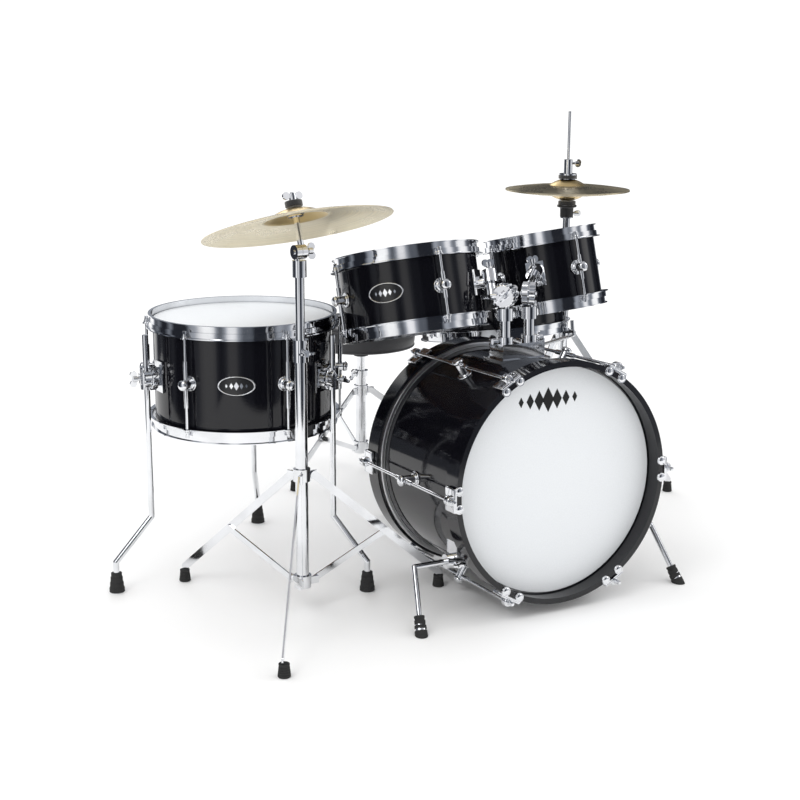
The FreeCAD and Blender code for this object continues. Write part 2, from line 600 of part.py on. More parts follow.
def crash_stand():
    """The straight cymbal stand with its telescopic tube, tilter and crash cymbal."""
    outer = dim("stand_tube_radius")
    inner = dim("stand_inner_radius")
    strips, boots, upper, lower = tripod("Crash", CRASH_STAND, 119.7, float(dim("crash_stand_foot")), 248, 56, outer,
                                         0.56)
    wall = tube("CrashTube", CRASH_STAND + UP * 46, UP, outer, inner + dim("running_gap"), 410)
    top_collar = cylinder("CrashCollar", CRASH_STAND + UP * 450, UP, outer + 3, 38)
    leg_collar = cylinder("CrashLegCollar", CRASH_STAND + UP * 240, UP, outer + 4, 22)
    low_casting = cylinder("CrashLowCasting", CRASH_STAND + UP * 46, UP, outer + 4, 22)
    bore = cylinder("CrashBore", CRASH_STAND + UP * 40, UP, inner + dim("running_gap"), 470)
    column = cut("CrashColumn", fuse("CrashColumnBody", [wall, top_collar, leg_collar, low_casting] + upper + lower),
                 [bore])
    screws = [wing_screw("CrashScrew", CRASH_STAND + Vector(0, -float(outer) - 2.9, 468), (0, -1, 0), 26, reach=10),
              wing_screw("CrashLegScrew", CRASH_STAND + polar(float(outer) + 3.9, 60, 251), polar(1, 60), 22,
                         reach=9)]
    node("crash_column", [column] + screws)

    pivot_height = float(dim("crash_pivot_height"))
    pivot = CRASH_STAND + UP * pivot_height
    lean = polar(1, CRASH_LEAN)
    hinge = lean.cross(UP)
    tilt = math.radians(float(dim("crash_tilt")))
    rod_axis = lean * math.sin(tilt) + UP * math.cos(tilt)
    upper_tube = cylinder("CrashUpperTube", CRASH_STAND + UP * 330, UP, inner, pivot_height - 330 - 20)
    cap = cylinder("CrashTubeCap", CRASH_STAND + UP * (pivot_height - 42), UP, inner + 4, 28)
    neck = cylinder("CrashNeck", pivot - hinge * 5.3 - UP * 24, UP, 4.5, 20)
    cheek = cylinder("CrashCheek", pivot - hinge * 10.3, hinge, 12, 10)
    pin = cylinder("CrashPin", pivot - hinge * 12, hinge, 3.5, 26)
    node("crash_upper_tube", [fuse("CrashUpper", [upper_tube, cap, neck, cheek, pin])])

    eye = cylinder("CrashEye", pivot + hinge * 0.3, hinge, 12, 10)
    side_step = hinge * 5.3
    rod = cylinder("CrashRod", pivot + side_step + rod_axis * 6, rod_axis, 3.2, 94)
    shoulder = cylinder("CrashShoulder", pivot + side_step + rod_axis * 10, rod_axis, 5.2, 50)
    plate = cylinder("CrashSeatPlate", pivot + side_step + rod_axis * 59, rod_axis, 13, 2.5)
    bore = cylinder("CrashEyeBore", pivot - hinge, hinge, 3.5 + dim("running_gap"), 14)
    head = cut("CrashHead", fuse("CrashHeadBody", [eye, rod, shoulder, plate]), [bore])
    knob = cut("CrashKnob", wing_screw("CrashKnobBody", pivot + hinge * 12.2, hinge, 26, reach=9),
               [cylinder("CrashKnobBore", pivot, hinge, 3.5 + dim("running_gap"), 15)])
    nut_base = pivot + side_step + rod_axis * 86.5
    nut_thin = rod_axis.cross(hinge)
    nut_wings = [cylinder("NutWing", nut_base + rod_axis * 8 + hinge * (side * 12.5) - nut_thin * 2, nut_thin, 6.5, 4)
                 for side in (-1, 1)]
    nut = cut("CrashNut", fuse("CrashNutBody", [cylinder("NutHub", nut_base, rod_axis, 6.5, 11),
                                                block("NutWeb", nut_base + rod_axis * 8, (26, 4, 7), rod_axis,
                                                      hinge)] + nut_wings),
              [cylinder("NutBore", nut_base - rod_axis, rod_axis, 3.3, 18)])
    node("crash_tilter", [head, knob, nut])

    seat = pivot + side_step + rod_axis * 61.7
    felts = [tube("CrashFelt", seat, rod_axis, 15, 3.4, 9),
             tube("CrashFelt", seat + rod_axis * 13.5, rod_axis, 15, 3.4, 11)]
    node("crash_felts", felts)
    cymbal("crash_cymbal", dim("crash_radius"), seat + rod_axis * 10.6, rod_axis, 54, 17, 15)
    return strips, boots


def cymbal_body(name, radius, bell_radius, bell_rise, bow_rise, hole):
    """A spun cymbal; the rim lies at z = 0 and the bell's flat top is the highest part."""
    gauge = dim("cymbal_sheet")
    steps = 5
    bow = []
    for step in range(steps + 1):
        share = step / steps
        bow.append((radius + (bell_radius - radius) * share, bow_rise * (1 - (1 - share) ** 2)))
    crown = [(bell_radius * 0.8, bow_rise + bell_rise * 0.45), (bell_radius * 0.5, bow_rise + bell_rise * 0.86),
             (bell_radius * 0.3, bow_rise + bell_rise), (hole, bow_rise + bell_rise)]
    under = bow + crown
    over = [(point[0], point[1] + gauge) for point in reversed(under)]
    return revolved(name, under + over)


def cymbal(label, radius, centre, axis, bell_radius, bell_rise, bow_rise):
    """A cymbal whose flat bell top, on its underside, is at centre."""
    body = cymbal_body(label, radius, bell_radius, bell_rise, bow_rise, 5.2)
    node(label, [body], Placement(centre - axis * (bell_rise + bow_rise), Rotation(UP, axis)))


# ---------------------------------------------------------------- hi-hat
HAT_STAND = Vector(436, 647, 0)
HAT_PEDAL_ANGLE = 139.0


def pedal_frame_parts(name, heel, forward):
    """Floor plate, heel hinge blocks and two uprights, given the heel hinge and the way the toe points."""
    across = UP.cross(forward)
    length = float(dim("pedal_length"))
    plate = block(name + "Plate", heel + forward * (length / 2 - 4) + UP * (2.0 - heel.z),
                  (length + 24, 30, 3), UP, forward)
    blocks = [block(name + "HeelBlock", heel + across * (side * 26) + UP * (8 - heel.z), (20, 10, 15), UP, forward)
              for side in (-1, 1)]
    beam = block(name + "HeelBeam", heel - forward * 3 + UP * (2.0 - heel.z), (16, 62, 3), UP, forward)
    return [plate, beam] + blocks


def foot_board(name, heel, forward, rise):
    """A foot plate hinged at the heel, rising towards the toe by the given angle in degrees."""
    across = UP.cross(forward)
    turn = Rotation(across, -rise)
    along = turn.multVec(forward)
    normal = turn.multVec(UP)
    length = dim("pedal_length")
    width = dim("pedal_width")
    plate = block(name + "Board", heel + along * (float(length) / 2 + 10) + normal * 6, (length - 20, width, 5),
                  normal, along)
    tongue = block(name + "Tongue", heel + along * 11 + normal * 4, (22, 36, 6), normal, along)
    barrel = cylinder(name + "Barrel", heel - across * 18, across, 6, 36)
    hole = cylinder(name + "Pin", heel - across * 34, across, 2.6, 68)
    return cut(name, fuse(name + "Body", [plate, tongue, barrel]), [hole]), along, normal


def hi_hat():
    """Hi-hat stand with its pull rod, clutch, two cymbals, tripod and pedal."""
    outer = dim("stand_tube_radius")
    inner = dim("stand_inner_radius")
    rod_radius = dim("hat_rod_radius")
    height = float(dim("hat_height"))
    strips, boots, upper, lower = tripod("Hat", HAT_STAND, -41, float(dim("hat_foot")), 352, 92, outer, 0.6)
    rod_bore = rod_radius + 0.6
    column = cylinder("HatColumn", HAT_STAND + UP * 78, UP, outer, 350)
    stem = cylinder("HatStem", HAT_STAND + UP * 420, UP, inner, height - 420 - 48)
    collars = [cylinder("HatCollar", HAT_STAND + UP * base, UP, outer + 4, tall)
               for base, tall in ((342, 22), (82, 22), (410, 30))]
    cup = cylinder("HatCup", HAT_STAND + UP * (height - 62), UP, 14, 25)
    dish = cylinder("HatDish", HAT_STAND + UP * (height - 37.5), UP, 21, 4)
    body = fuse("HatBody", [column, stem, cup, dish] + collars + upper + lower)
    drilled = cut("HatDrilled", body, [cylinder("HatBore", HAT_STAND + UP * 60, UP, rod_bore, height)])
    screws = [wing_screw("HatScrew", HAT_STAND + polar(float(outer) + 3.9, -30, 426), polar(1, -30), 26, reach=9),
              wing_screw("HatLegScrew", HAT_STAND + polar(float(outer) + 3.9, 19, 353), polar(1, 19), 22, reach=9),
              wing_screw("HatTiltScrew", HAT_STAND + polar(13.9, -25, height - 52), polar(1, -25), 12, reach=8)]
    node("hat_column", [drilled] + screws)

    lower_felt = tube("HatLowerFelt", HAT_STAND + UP * (height - 33.3), UP, 19.5, float(rod_bore), 9)
    node("hat_seat_felt", [lower_felt])

    bell_height = 22.0
    bow_height = 9.0
    hat_hole = 5.2
    gauge = float(dim("cymbal_sheet"))
    below = cymbal_body("HatBottom", dim("hat_radius"), 40, bell_height - bow_height, bow_height, hat_hole)
    flipped = Placement(HAT_STAND + UP * (height - 0.4), Rotation(Vector(1, 0, 0), 180))
    above = cymbal_body("HatTop", dim("hat_radius"), 40, bell_height - bow_height, bow_height, hat_hole)
    node("hat_cymbal_bottom", [below], flipped)
    node("hat_cymbal_top", [above], Placement(HAT_STAND + UP * (height + 0.4), Rotation()))

    top = height + 0.4 + bell_height + gauge
    free_from = dim("hat_rod_top") - dim("hat_rod_free")
    rod = cylinder("HatRod", HAT_STAND + UP * 46, UP, rod_radius, dim("hat_rod_top") - 46)
    hook = cylinder("HatHook", HAT_STAND + UP * 41, UP, 5.5, 9)
    groove = tube("HatRodGroove", HAT_STAND + UP * float(free_from - dim("hat_rod_groove")), UP, rod_radius + 2,
                  dim("hat_rod_neck"), dim("hat_rod_groove"))
    node("hat_rod", [cut("HatPull", fuse("HatPullBody", [rod, hook]), [groove])])
    sleeve = tube("ClutchSleeve", HAT_STAND + UP * (top + 12), UP, 9.4, rod_radius + 0.05, 30)
    washer = tube("ClutchWasher", HAT_STAND + UP * (top + 9.3), UP, 19, rod_radius + 0.05, 2.6)
    throat = tube("ClutchThroat", HAT_STAND + UP * (top - 6), UP, 4.8, rod_radius + 0.05, 18)
    screw = wing_screw("ClutchScrew", HAT_STAND + polar(9.3, -20, top + 34), polar(1, -20), 16, reach=10, stem=2.8)
    clutch = fuse("Clutch", [sleeve, washer, throat, screw])
    bored = cut("ClutchClear", clutch, [cylinder("ClutchBore", HAT_STAND + UP * (top - 12), UP,
                                                 rod_radius + 0.05, 70)])
    node("hat_clutch", [bored, tube("ClutchFelt", HAT_STAND + UP * (top + 0.2), UP, 20, 5.0, 9)])

    toe_way = polar(-1, HAT_PEDAL_ANGLE)
    heel = HAT_STAND + polar(float(dim("pedal_length")) + 12, HAT_PEDAL_ANGLE, 12)
    frame = pedal_frame_parts("HatPedal", heel, toe_way)
    across = UP.cross(toe_way)
    mast = [block("HatMast", HAT_STAND + across * (side * 46) + UP * 43, (16, 4, 84), UP, toe_way)
            for side in (-1, 1)]
    bridge = [block("HatBridge", HAT_STAND + UP * 80.5, (40, 96, 8), UP, toe_way)]
    sill = [block("HatSill", HAT_STAND + UP * 2, (16, 96, 3), UP, toe_way)]
    pins = [cylinder("HatHeelPin", heel + across * (side * 31) - across * (side * 12.5), across * side, 2.5, 12)
            for side in (-1, 1)]
    relief = cylinder("HatRelief", HAT_STAND + UP * 60, UP, float(outer) + 4.05, 60)
    drilled_frame = cut("HatFrame", fuse("HatFrameBody", frame + mast + bridge + sill + pins), [relief])
    node("hat_frame", [drilled_frame])
    board, _along, _normal = foot_board("HatBoard", heel, toe_way, 7)
    node("hat_pedal", [board])
    return strips, boots


# ---------------------------------------------------------------- throne
THRONE = Vector(95, 985, 0)


def throne():
    """Round padded stool with a telescopic post on a braced tripod."""
    outer = as_size(13)
    inner = as_size(10)
    strips, boots, upper, lower = tripod("Throne", THRONE, 87, float(dim("throne_foot")), 188, 48, outer, 0.55)
    column = cylinder("ThroneColumn", THRONE + UP * 34, UP, outer, 198)
    collars = [cylinder("ThroneCollar", THRONE + UP * base, UP, outer + 4, tall)
               for base, tall in ((176, 24), (34, 28), (222, 14))]
    body = fuse("ThroneBody", [column] + collars + upper + lower)
    drilled = cut("ThroneDrilled", body, [cylinder("ThroneBore", THRONE + UP * 60, UP, inner + dim("running_gap"),
                                                   240)])
    screw = wing_screw("ThroneScrew", THRONE + polar(16.9, 200, 229), polar(1, 200), 28, reach=10)
    node("throne_column", [drilled, screw])

    bottom = float(dim("seat_bottom"))
    post = cylinder("ThronePost", THRONE + UP * 90, UP, inner, bottom - 90 - 24)
    stub = cylinder("ThroneStub", THRONE + UP * (bottom - 26), UP, 7, 14)
    node("throne_post", [fuse("ThronePostBody", [post, stub])])
    hub = tube("SeatHub", THRONE + UP * (bottom - 22.7), UP, 17, as_size(7) + dim("running_gap"), 17)
    pan = cylinder("SeatPan", THRONE + UP * (bottom - 6), UP, 62, 5.7)
    pan_cut = cut("SeatPanCut", fuse("SeatPanBody", [hub, pan]),
                  [cylinder("SeatStubRoom", THRONE + UP * (bottom - 40), UP, as_size(7) + dim("running_gap"), 28.4)])
    node("throne_pan", [pan_cut])
    radius = dim("seat_radius")
    thick = dim("seat_thickness")
    cushion = revolved("SeatCushion", [
        (0, 0), (radius - 10, 0), (radius - 2, 4), (radius, 12), (radius, thick - 22), (radius - 5, thick - 9),
        (radius - 22, thick), (0, thick)])
    node("throne_seat", [cushion], Placement(THRONE + UP * bottom, Rotation()))
    return strips, boots


# ---------------------------------------------------------------- snare
SNARE = Vector(238, 620, 0)
SNARE_BOTTOM = 372.0


def snare():
    """Snare drum with its wires and strainer, in a basket on a low tripod."""
    axis = normal_from_tilt(7.4, 1.5)
    base = SNARE + UP * SNARE_BOTTOM
    placement = Placement(base, Rotation(UP, axis))
    radius = dim("snare_radius")
    depth = dim("snare_depth")
    edge = float(dim("hoop_height")) / 2
    middle = edge + float(depth) / 2
    butt = block("Butt", polar(radius + 6, 215, middle - 8), (11.6, 26, 34), UP, polar(1, 215))
    strainer = block("Strainer", polar(radius + 6, 35, middle - 4), (11.6, 30, 52), UP, polar(1, 35))
    small_drum("snare", radius, depth, [5 + 60 * index for index in range(6)], placement, 40,
               badge_angle=None, extras=[butt, strainer])
    along = polar(1, 35)
    across = UP.cross(along)
    lever = fuse("Lever", [
        block("LeverArm", polar(radius + 17, 35, middle + 6), (4, 12, 44), UP, polar(1, 35)),
        cylinder("LeverPivot", polar(radius + 16.6, 35, middle - 12) - across * 6, across, 4.3, 12)])
    node("snare_lever", [lever], placement)
    wires = []
    for index in range(10):
        start = along * -112 + across * (index * 4 - 18) + UP * (edge - 3.1)
        wires.append(cylinder("Wire", start, along, 1.0, 224))
    plates = [block("WirePlate", along * (side * 120) + UP * (edge - 3.1), (14, 44, 1.4), UP, along)
              for side in (-1, 1)]
    node("snare_wires", wires + plates, placement)

    outer = dim("stand_tube_radius")
    inner = dim("stand_inner_radius")
    strips, boots, upper, lower = tripod("Snare", SNARE, 100, float(dim("snare_foot")), 142, 44, outer, 0.58)
    column = cylinder("SnareColumn", SNARE + UP * 34, UP, outer, 186)
    collars = [cylinder("SnareCollar", SNARE + UP * start, UP, outer + 4, tall)
               for start, tall in ((132, 22), (34, 22), (200, 24))]
    drilled = cut("SnareDrilled", fuse("SnareStandBody", [column] + collars + upper + lower),
                  [cylinder("SnareBore", SNARE + UP * 60, UP, inner + dim("running_gap"), 200)])
    screw = wing_screw("SnareScrew", SNARE + polar(14.9, 280, 212), polar(1, 280), 24, reach=9)
    node("snare_column", [drilled, screw])

    hub = Vector(SNARE.x, SNARE.y, base.z - 62)
    mast = cylinder("BasketMast", Vector(hub.x, hub.y, 110), UP, inner, hub.z - 106)
    disc = cylinder("BasketHub", hub, axis, 20, 16)
    knob = cylinder("BasketNut", hub + axis * 16, axis, 12, 18)
    arms = []
    rim = float(radius) + 17.5
    for index in range(3):
        way = placement.Rotation.multVec(polar(1, 80 + 120 * index))
        rod = rod_chain("BasketArm", [hub + axis * 8 + way * 14, base - axis * 12 + way * rim,
                                      base + axis * 20 + way * rim], 4)
        hook = block("BasketHook", base - axis * 4 + way * (rim - 9), (24, 12, 5), axis, way)
        arms += [rod, hook]
    node("snare_basket", [fuse("Basket", [mast, disc, knob] + arms)])
    return strips, boots


# ---------------------------------------------------------------- bass pedal
AXLE_HEIGHT = 128.0
AXLE_BACK = 46.0        # axle behind the bass drum's rear face


def bass_pedal():
    """Single bass pedal clamped to the rear hoop, with a coupled foot board and beater."""
    rear = bass_point(0, float(dim("bass_length")), 0)
    toe_way = Vector(0, -1, 0)
    heel = Vector(0, rear.y + 54 + float(dim("pedal_length")), 12)
    frame = pedal_frame_parts("BassPedal", heel, toe_way)
    axle_y = rear.y + AXLE_BACK
    uprights = [block("Upright", Vector(side * 42, axle_y, 70), (8, 22, 138)) for side in (-1, 1)]
    sill = block("PedalSill", Vector(0, axle_y, 2), (92, 22, 3))
    shoe = block("PedalShoe", Vector(0, axle_y - 42, 1.5), (44, 76, 2.2))
    jaw = block("PedalJaw", Vector(0, axle_y - 19, 12), (44, 18, 20))
    pins = [cylinder("BassHeelPin", heel + Vector(side * 18.5, 0, 0), Vector(side, 0, 0), 2.5, 12)
            for side in (-1, 1)]
    holes = [cylinder("AxleHole", Vector(-60, axle_y, AXLE_HEIGHT), Vector(1, 0, 0), 5.08, 120)]
    body = cut("PedalFrame", fuse("PedalFrameBody", frame + uprights + [sill, shoe, jaw] + pins), holes)
    node("pedal_frame", [body])
    board, along, normal = foot_board("PedalBoard", heel, toe_way, 9)
    node("pedal_board", [board])

    axle = cylinder("Axle", Vector(-50, axle_y, AXLE_HEIGHT), Vector(1, 0, 0), 5, 100)
    cam = cylinder("Cam", Vector(-8, axle_y, AXLE_HEIGHT), Vector(1, 0, 0), 17, 16)
    back = Rotation(Vector(1, 0, 0), -28).multVec(UP)
    shaft = cylinder("BeaterShaft", Vector(0, axle_y, AXLE_HEIGHT), back, 3.6, dim("beater_reach") + 16)
    node("pedal_axle", [fuse("BeaterCrank", [axle, cam, shaft])])
    felt_axis = back.cross(Vector(1, 0, 0))
    centre = Vector(0, axle_y, AXLE_HEIGHT) + back * float(dim("beater_reach"))
    felt = cylinder("BeaterFelt", centre - felt_axis * 20, felt_axis, 19, 40)
    felt_hole = cylinder("BeaterHole", centre - back * 40, back, 3.65, 80)
    node("pedal_beater", [cut("Beater", felt, [felt_hole])])


# ---------------------------------------------------------------- assembly
bass_drum()
spurs()
tom_holder()
rack_tom("tom_left", -1, dim("tom_left_radius"), Vector(-142.7, 301.4, 535), normal_from_tilt(14.3, 1.7), 267, 312, 222)
rack_tom("tom_right", 1, dim("tom_right_radius"), Vector(171.6, 332, 550), normal_from_tilt(12.0, 4.7), 272, 227, 137)
floor_tom()
stand_legs = []
stand_boots = []
for build_stand in (crash_stand, hi_hat, throne, snare):
    leg_strips, rubber_boots = build_stand()
    stand_legs += leg_strips
    stand_boots += rubber_boots
node("stand_legs", stand_legs)
node("stand_boots", stand_boots)
bass_pedal()

doc.recompute()
failed = [obj.Name for obj in doc.Objects if {"Invalid", "Error"} & set(obj.State)]
if failed:
    raise RuntimeError(f"objects that failed: {failed}")
for item in nodes:
    if item.Shape.isNull() or not item.Shape.isValid() or not item.Shape.Solids:
        raise RuntimeError(f"bad shape: {item.Label}")
os.makedirs("parts", exist_ok=True)
for item in nodes:
    item.Shape.exportStep(f"parts/{item.Label}.step")
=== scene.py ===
"""Looks of a junior acoustic drum kit: heads, cymbals, lugs, boots, throne cushion, finishes and the studio."""
import json
import math

import bmesh
import bpy
import numpy as np
from bpy.props import FloatProperty, FloatVectorProperty, IntProperty, PointerProperty
from mathutils import Matrix, Vector


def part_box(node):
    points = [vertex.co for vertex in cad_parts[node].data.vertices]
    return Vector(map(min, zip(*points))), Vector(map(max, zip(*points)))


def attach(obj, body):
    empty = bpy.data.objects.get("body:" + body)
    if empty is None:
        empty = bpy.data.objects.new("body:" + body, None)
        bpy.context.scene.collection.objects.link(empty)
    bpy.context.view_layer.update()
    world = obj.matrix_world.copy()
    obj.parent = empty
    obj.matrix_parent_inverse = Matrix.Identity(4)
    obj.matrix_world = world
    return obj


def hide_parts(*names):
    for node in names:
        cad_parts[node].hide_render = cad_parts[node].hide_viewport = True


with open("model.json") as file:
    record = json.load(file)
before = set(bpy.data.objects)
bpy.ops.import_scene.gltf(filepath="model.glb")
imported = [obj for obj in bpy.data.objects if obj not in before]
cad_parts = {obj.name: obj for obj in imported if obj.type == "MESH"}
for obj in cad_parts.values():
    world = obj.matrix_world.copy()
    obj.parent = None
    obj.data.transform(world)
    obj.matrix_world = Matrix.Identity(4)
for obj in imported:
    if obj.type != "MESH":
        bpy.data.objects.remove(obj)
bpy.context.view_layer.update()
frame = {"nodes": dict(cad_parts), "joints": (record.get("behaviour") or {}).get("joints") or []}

bl_info = {
    "name": "Junior Drum Kit",
    "version": (1, 0, 0),
    "blender": (4, 5, 0),
    "location": "View3D > Sidebar > Drum Kit",
    "description": "Builds the heads, cymbals, fittings, cushion and finishes of a five-piece drum kit",
    "category": "Add Mesh",
}

UP = Vector((0, 0, 1))
FLOOR_HALF_WIDTH = 1.7      # the floor ends here, so upright chrome mirrors the walls as well as the floor
ORNAMENT_RISE = 0.146       # from the front head's middle up to the row of lozenges
LOZENGE_STEP = 0.0185       # from one lozenge to the next
HOOP_FACE = 0.0312          # from the end of the bass drum's shell to its hoop's outer face
BASS_ROD_LINE = 0.226       # radius of the bass drum's tension rods

# For each drum: its body, lug count, first lug angle and badge angle (None for no badge), in degrees about its axis.
SMALL_DRUMS = {
    "tom_left": ("tom_left_drum", 4, 267.0, 222.0),
    "tom_right": ("tom_right_drum", 4, 272.0, 137.0),
    "floor_tom": ("kit", 6, 33.7, 243.7),
    "snare": ("snare_set", 6, 5.0, None),
}


# ---------------------------------------------------------------- settings
class KitSizes(bpy.types.PropertyGroup):
    """Sizes of the pieces that are shaped here."""
    spin_steps: IntProperty(name="Spin steps", description="Segments round each turned piece", default=96, min=24)
    cymbal_gauge: FloatProperty(name="Cymbal thickness", description="Thickness of the spun brass", default=0.0011,
                                unit="LENGTH")
    boot_ribs: IntProperty(name="Boot ribs", description="Grooves round each rubber boot", default=4, min=1)
    cushion_crown: FloatProperty(name="Cushion crown", description="Rise of the seat's middle over its edge",
                                 default=0.007, unit="LENGTH")
    piping_radius: FloatProperty(name="Piping radius", description="Radius of the seat's welt cord", default=0.0024,
                                 unit="LENGTH")
    lug_cap_radius: FloatProperty(name="Lug cap radius", description="Radius of the domed cap on each lug",
                                  default=0.0095, unit="LENGTH")


class KitFinishes(bpy.types.PropertyGroup):
    wrap: FloatVectorProperty(name="Shell wrap", description="Glossy wrap of the shells", subtype="COLOR", size=4,
                              default=(0.004, 0.004, 0.006, 1))
    chrome: FloatVectorProperty(name="Chrome", description="Plated hardware", subtype="COLOR", size=4,
                                default=(0.80, 0.81, 0.83, 1))
    coating: FloatVectorProperty(name="Head coating", description="Sprayed coating of the batter heads",
                                 subtype="COLOR", size=4, default=(0.76, 0.78, 0.80, 1))
    brass: FloatVectorProperty(name="Cymbal brass", description="Lathed cymbal surface", subtype="COLOR", size=4,
                               default=(0.86, 0.76, 0.54, 1))
    bell_brass: FloatVectorProperty(name="Bell brass", description="Unlathed cymbal bell", subtype="COLOR", size=4,
                                    default=(0.66, 0.50, 0.24, 1))
    plywood: FloatVectorProperty(name="Plywood", description="Inside of the shells", subtype="COLOR", size=4,
                                 default=(0.33, 0.17, 0.075, 1))
    vinyl: FloatVectorProperty(name="Seat vinyl", description="Cover of the throne", subtype="COLOR", size=4,
                               default=(0.028, 0.028, 0.031, 1))
    rubber: FloatVectorProperty(name="Rubber", description="Boots and tips", subtype="COLOR", size=4,
                                default=(0.014, 0.014, 0.015, 1))


class KitStudio(bpy.types.PropertyGroup):
    """Camera and floor colour."""
    camera_place: FloatVectorProperty(name="Camera place", description="Where the camera stands", subtype="XYZ",
                                      unit="LENGTH", size=3, default=(-1.3113, -2.5044, 0.9325))
    camera_azimuth: FloatProperty(name="Azimuth", description="Compass turn of the view", default=-28.02)
    camera_elevation: FloatProperty(name="Elevation", description="How far the view looks down", default=13.44)
    camera_roll: FloatProperty(name="Roll", description="Turn of the picture about its middle", default=0.34)
    camera_lens: FloatProperty(name="Lens", description="Focal length on a 36 mm sensor", default=62.34)
    floor_colour: FloatVectorProperty(name="Floor", description="Pale studio floor", subtype="COLOR", size=4,
                                      default=(0.96, 0.96, 0.96, 1))


# ---------------------------------------------------------------- shader groups
def new_group(name, inputs, outputs):
    """An empty node group with float or other sockets; returns the group and its two end nodes."""
    group = bpy.data.node_groups.new(name, "ShaderNodeTree")
    for label, kind, default in inputs:
        socket = group.interface.new_socket(label, in_out="INPUT", socket_type=kind)
        if default is not None:
            socket.default_value = default
    for label, kind in outputs:
        group.interface.new_socket(label, in_out="OUTPUT", socket_type=kind)
    start = group.nodes.new("NodeGroupInput")
    end = group.nodes.new("NodeGroupOutput")
    return group, start, end


def math_node(tree, operation, first, second=None, clamp=False):
    node = tree.nodes.new("ShaderNodeMath")
    node.operation = operation
    node.use_clamp = clamp
    for index, value in enumerate((first, second)):
        if value is None:
            continue
        if isinstance(value, (int, float)):
            node.inputs[index].default_value = value
        else:
            tree.links.new(value, node.inputs[index])
    return node.outputs[0]


def handling_group():
    """Finger smears and dust: a roughness that varies over the surface, and a faint height."""
    group, start, end = new_group(
        "Handling", [("Vector", "NodeSocketVector", None), ("Base", "NodeSocketFloat", 0.1),
                     ("Smear", "NodeSocketFloat", 0.1), ("Scale", "NodeSocketFloat", 12.0)],
        [("Roughness", "NodeSocketFloat"), ("Height", "NodeSocketFloat"), ("Mask", "NodeSocketFloat")])
    links = group.links
    broad = group.nodes.new("ShaderNodeTexNoise")
    broad.inputs["Detail"].default_value = 4
    links.new(start.outputs["Vector"], broad.inputs["Vector"])
    links.new(start.outputs["Scale"], broad.inputs["Scale"])
    fine = group.nodes.new("ShaderNodeTexNoise")
    fine.inputs["Scale"].default_value = 420
    fine.inputs["Detail"].default_value = 3
    links.new(start.outputs["Vector"], fine.inputs["Vector"])
    patch = group.nodes.new("ShaderNodeMapRange")
    patch.inputs["From Min"].default_value = 0.42
    patch.inputs["From Max"].default_value = 0.72
    links.new(broad.outputs["Fac"], patch.inputs["Value"])
    smear = math_node(group, "MULTIPLY", patch.outputs["Result"], start.outputs["Smear"])
    links.new(math_node(group, "ADD", smear, start.outputs["Base"]), end.inputs["Roughness"])
    links.new(fine.outputs["Fac"], end.inputs["Height"])
    links.new(patch.outputs["Result"], end.inputs["Mask"])
    return group


def grain_group():
    """Small cells such as leather pebble or sprayed coating; Height feeds a bump, and the second output is painted
    shade that darkens the valleys.
    """
    group, start, end = new_group(
        "Grain", [("Vector", "NodeSocketVector", None), ("Scale", "NodeSocketFloat", 900.0)],
        [("Height", "NodeSocketFloat"), ("Painted Shade", "NodeSocketFloat")])
    cells = group.nodes.new("ShaderNodeTexVoronoi")
    cells.feature = "SMOOTH_F1"
    group.links.new(start.outputs["Vector"], cells.inputs["Vector"])
    group.links.new(start.outputs["Scale"], cells.inputs["Scale"])
    blur = group.nodes.new("ShaderNodeTexNoise")
    blur.inputs["Detail"].default_value = 5
    group.links.new(start.outputs["Vector"], blur.inputs["Vector"])
    group.links.new(math_node(group, "MULTIPLY", start.outputs["Scale"], 0.35), blur.inputs["Scale"])
    total = math_node(group, "ADD", cells.outputs["Distance"], blur.outputs["Fac"])
    group.links.new(math_node(group, "MULTIPLY", total, 0.6), end.inputs["Height"])
    # painted shade: the noise that raises the bump also lightens the colour, so the valleys come out darker
    group.links.new(blur.outputs["Fac"], end.inputs["Painted Shade"])
    return group


def turned_group():
    """Distance from a turned piece's axis, and how far along it, from coordinates centred on the piece."""
    group, start, end = new_group("Turned", [("Vector", "NodeSocketVector", None)],
                                  [("Radius", "NodeSocketFloat"), ("Along", "NodeSocketFloat"),
                                   ("Angle", "NodeSocketFloat")])
    split = group.nodes.new("ShaderNodeSeparateXYZ")
    group.links.new(start.outputs["Vector"], split.inputs["Vector"])
    x_part = math_node(group, "MULTIPLY", split.outputs["X"], split.outputs["X"])
    y_part = math_node(group, "MULTIPLY", split.outputs["Y"], split.outputs["Y"])
    group.links.new(math_node(group, "SQRT", math_node(group, "ADD", x_part, y_part)), end.inputs["Radius"])
    group.links.new(split.outputs["Z"], end.inputs["Along"])
    group.links.new(math_node(group, "ARCTAN2", split.outputs["Y"], split.outputs["X"]), end.inputs["Angle"])
    return group


GROUPS = {}


def use_group(tree, key, vector=None, **values):
    """Place a shared group in a material, with its own values."""
    makers = {"Handling": handling_group, "Grain": grain_group, "Turned": turned_group}
    if key not in GROUPS:
        GROUPS[key] = makers[key]()
    node = tree.nodes.new("ShaderNodeGroup")
    node.node_tree = GROUPS[key]
    for label, value in values.items():
        node.inputs[label].default_value = value
    if vector is not None:
        tree.links.new(vector, node.inputs["Vector"])
    return node


def start_material(name):
    """A material with a Principled shader and its object coordinates."""
    material = bpy.data.materials.new(name)
    material.use_nodes = True
    tree = material.node_tree
    shader = tree.nodes["Principled BSDF"]
    coords = tree.nodes.new("ShaderNodeTexCoord").outputs["Object"]
    return material, tree, shader, coords


def bump(tree, shader, height, strength, distance=0.001):
    node = tree.nodes.new("ShaderNodeBump")
    node.inputs["Strength"].default_value = strength
    node.inputs["Distance"].default_value = distance
    tree.links.new(height, node.inputs["Height"])
    tree.links.new(node.outputs["Normal"], shader.inputs["Normal"])


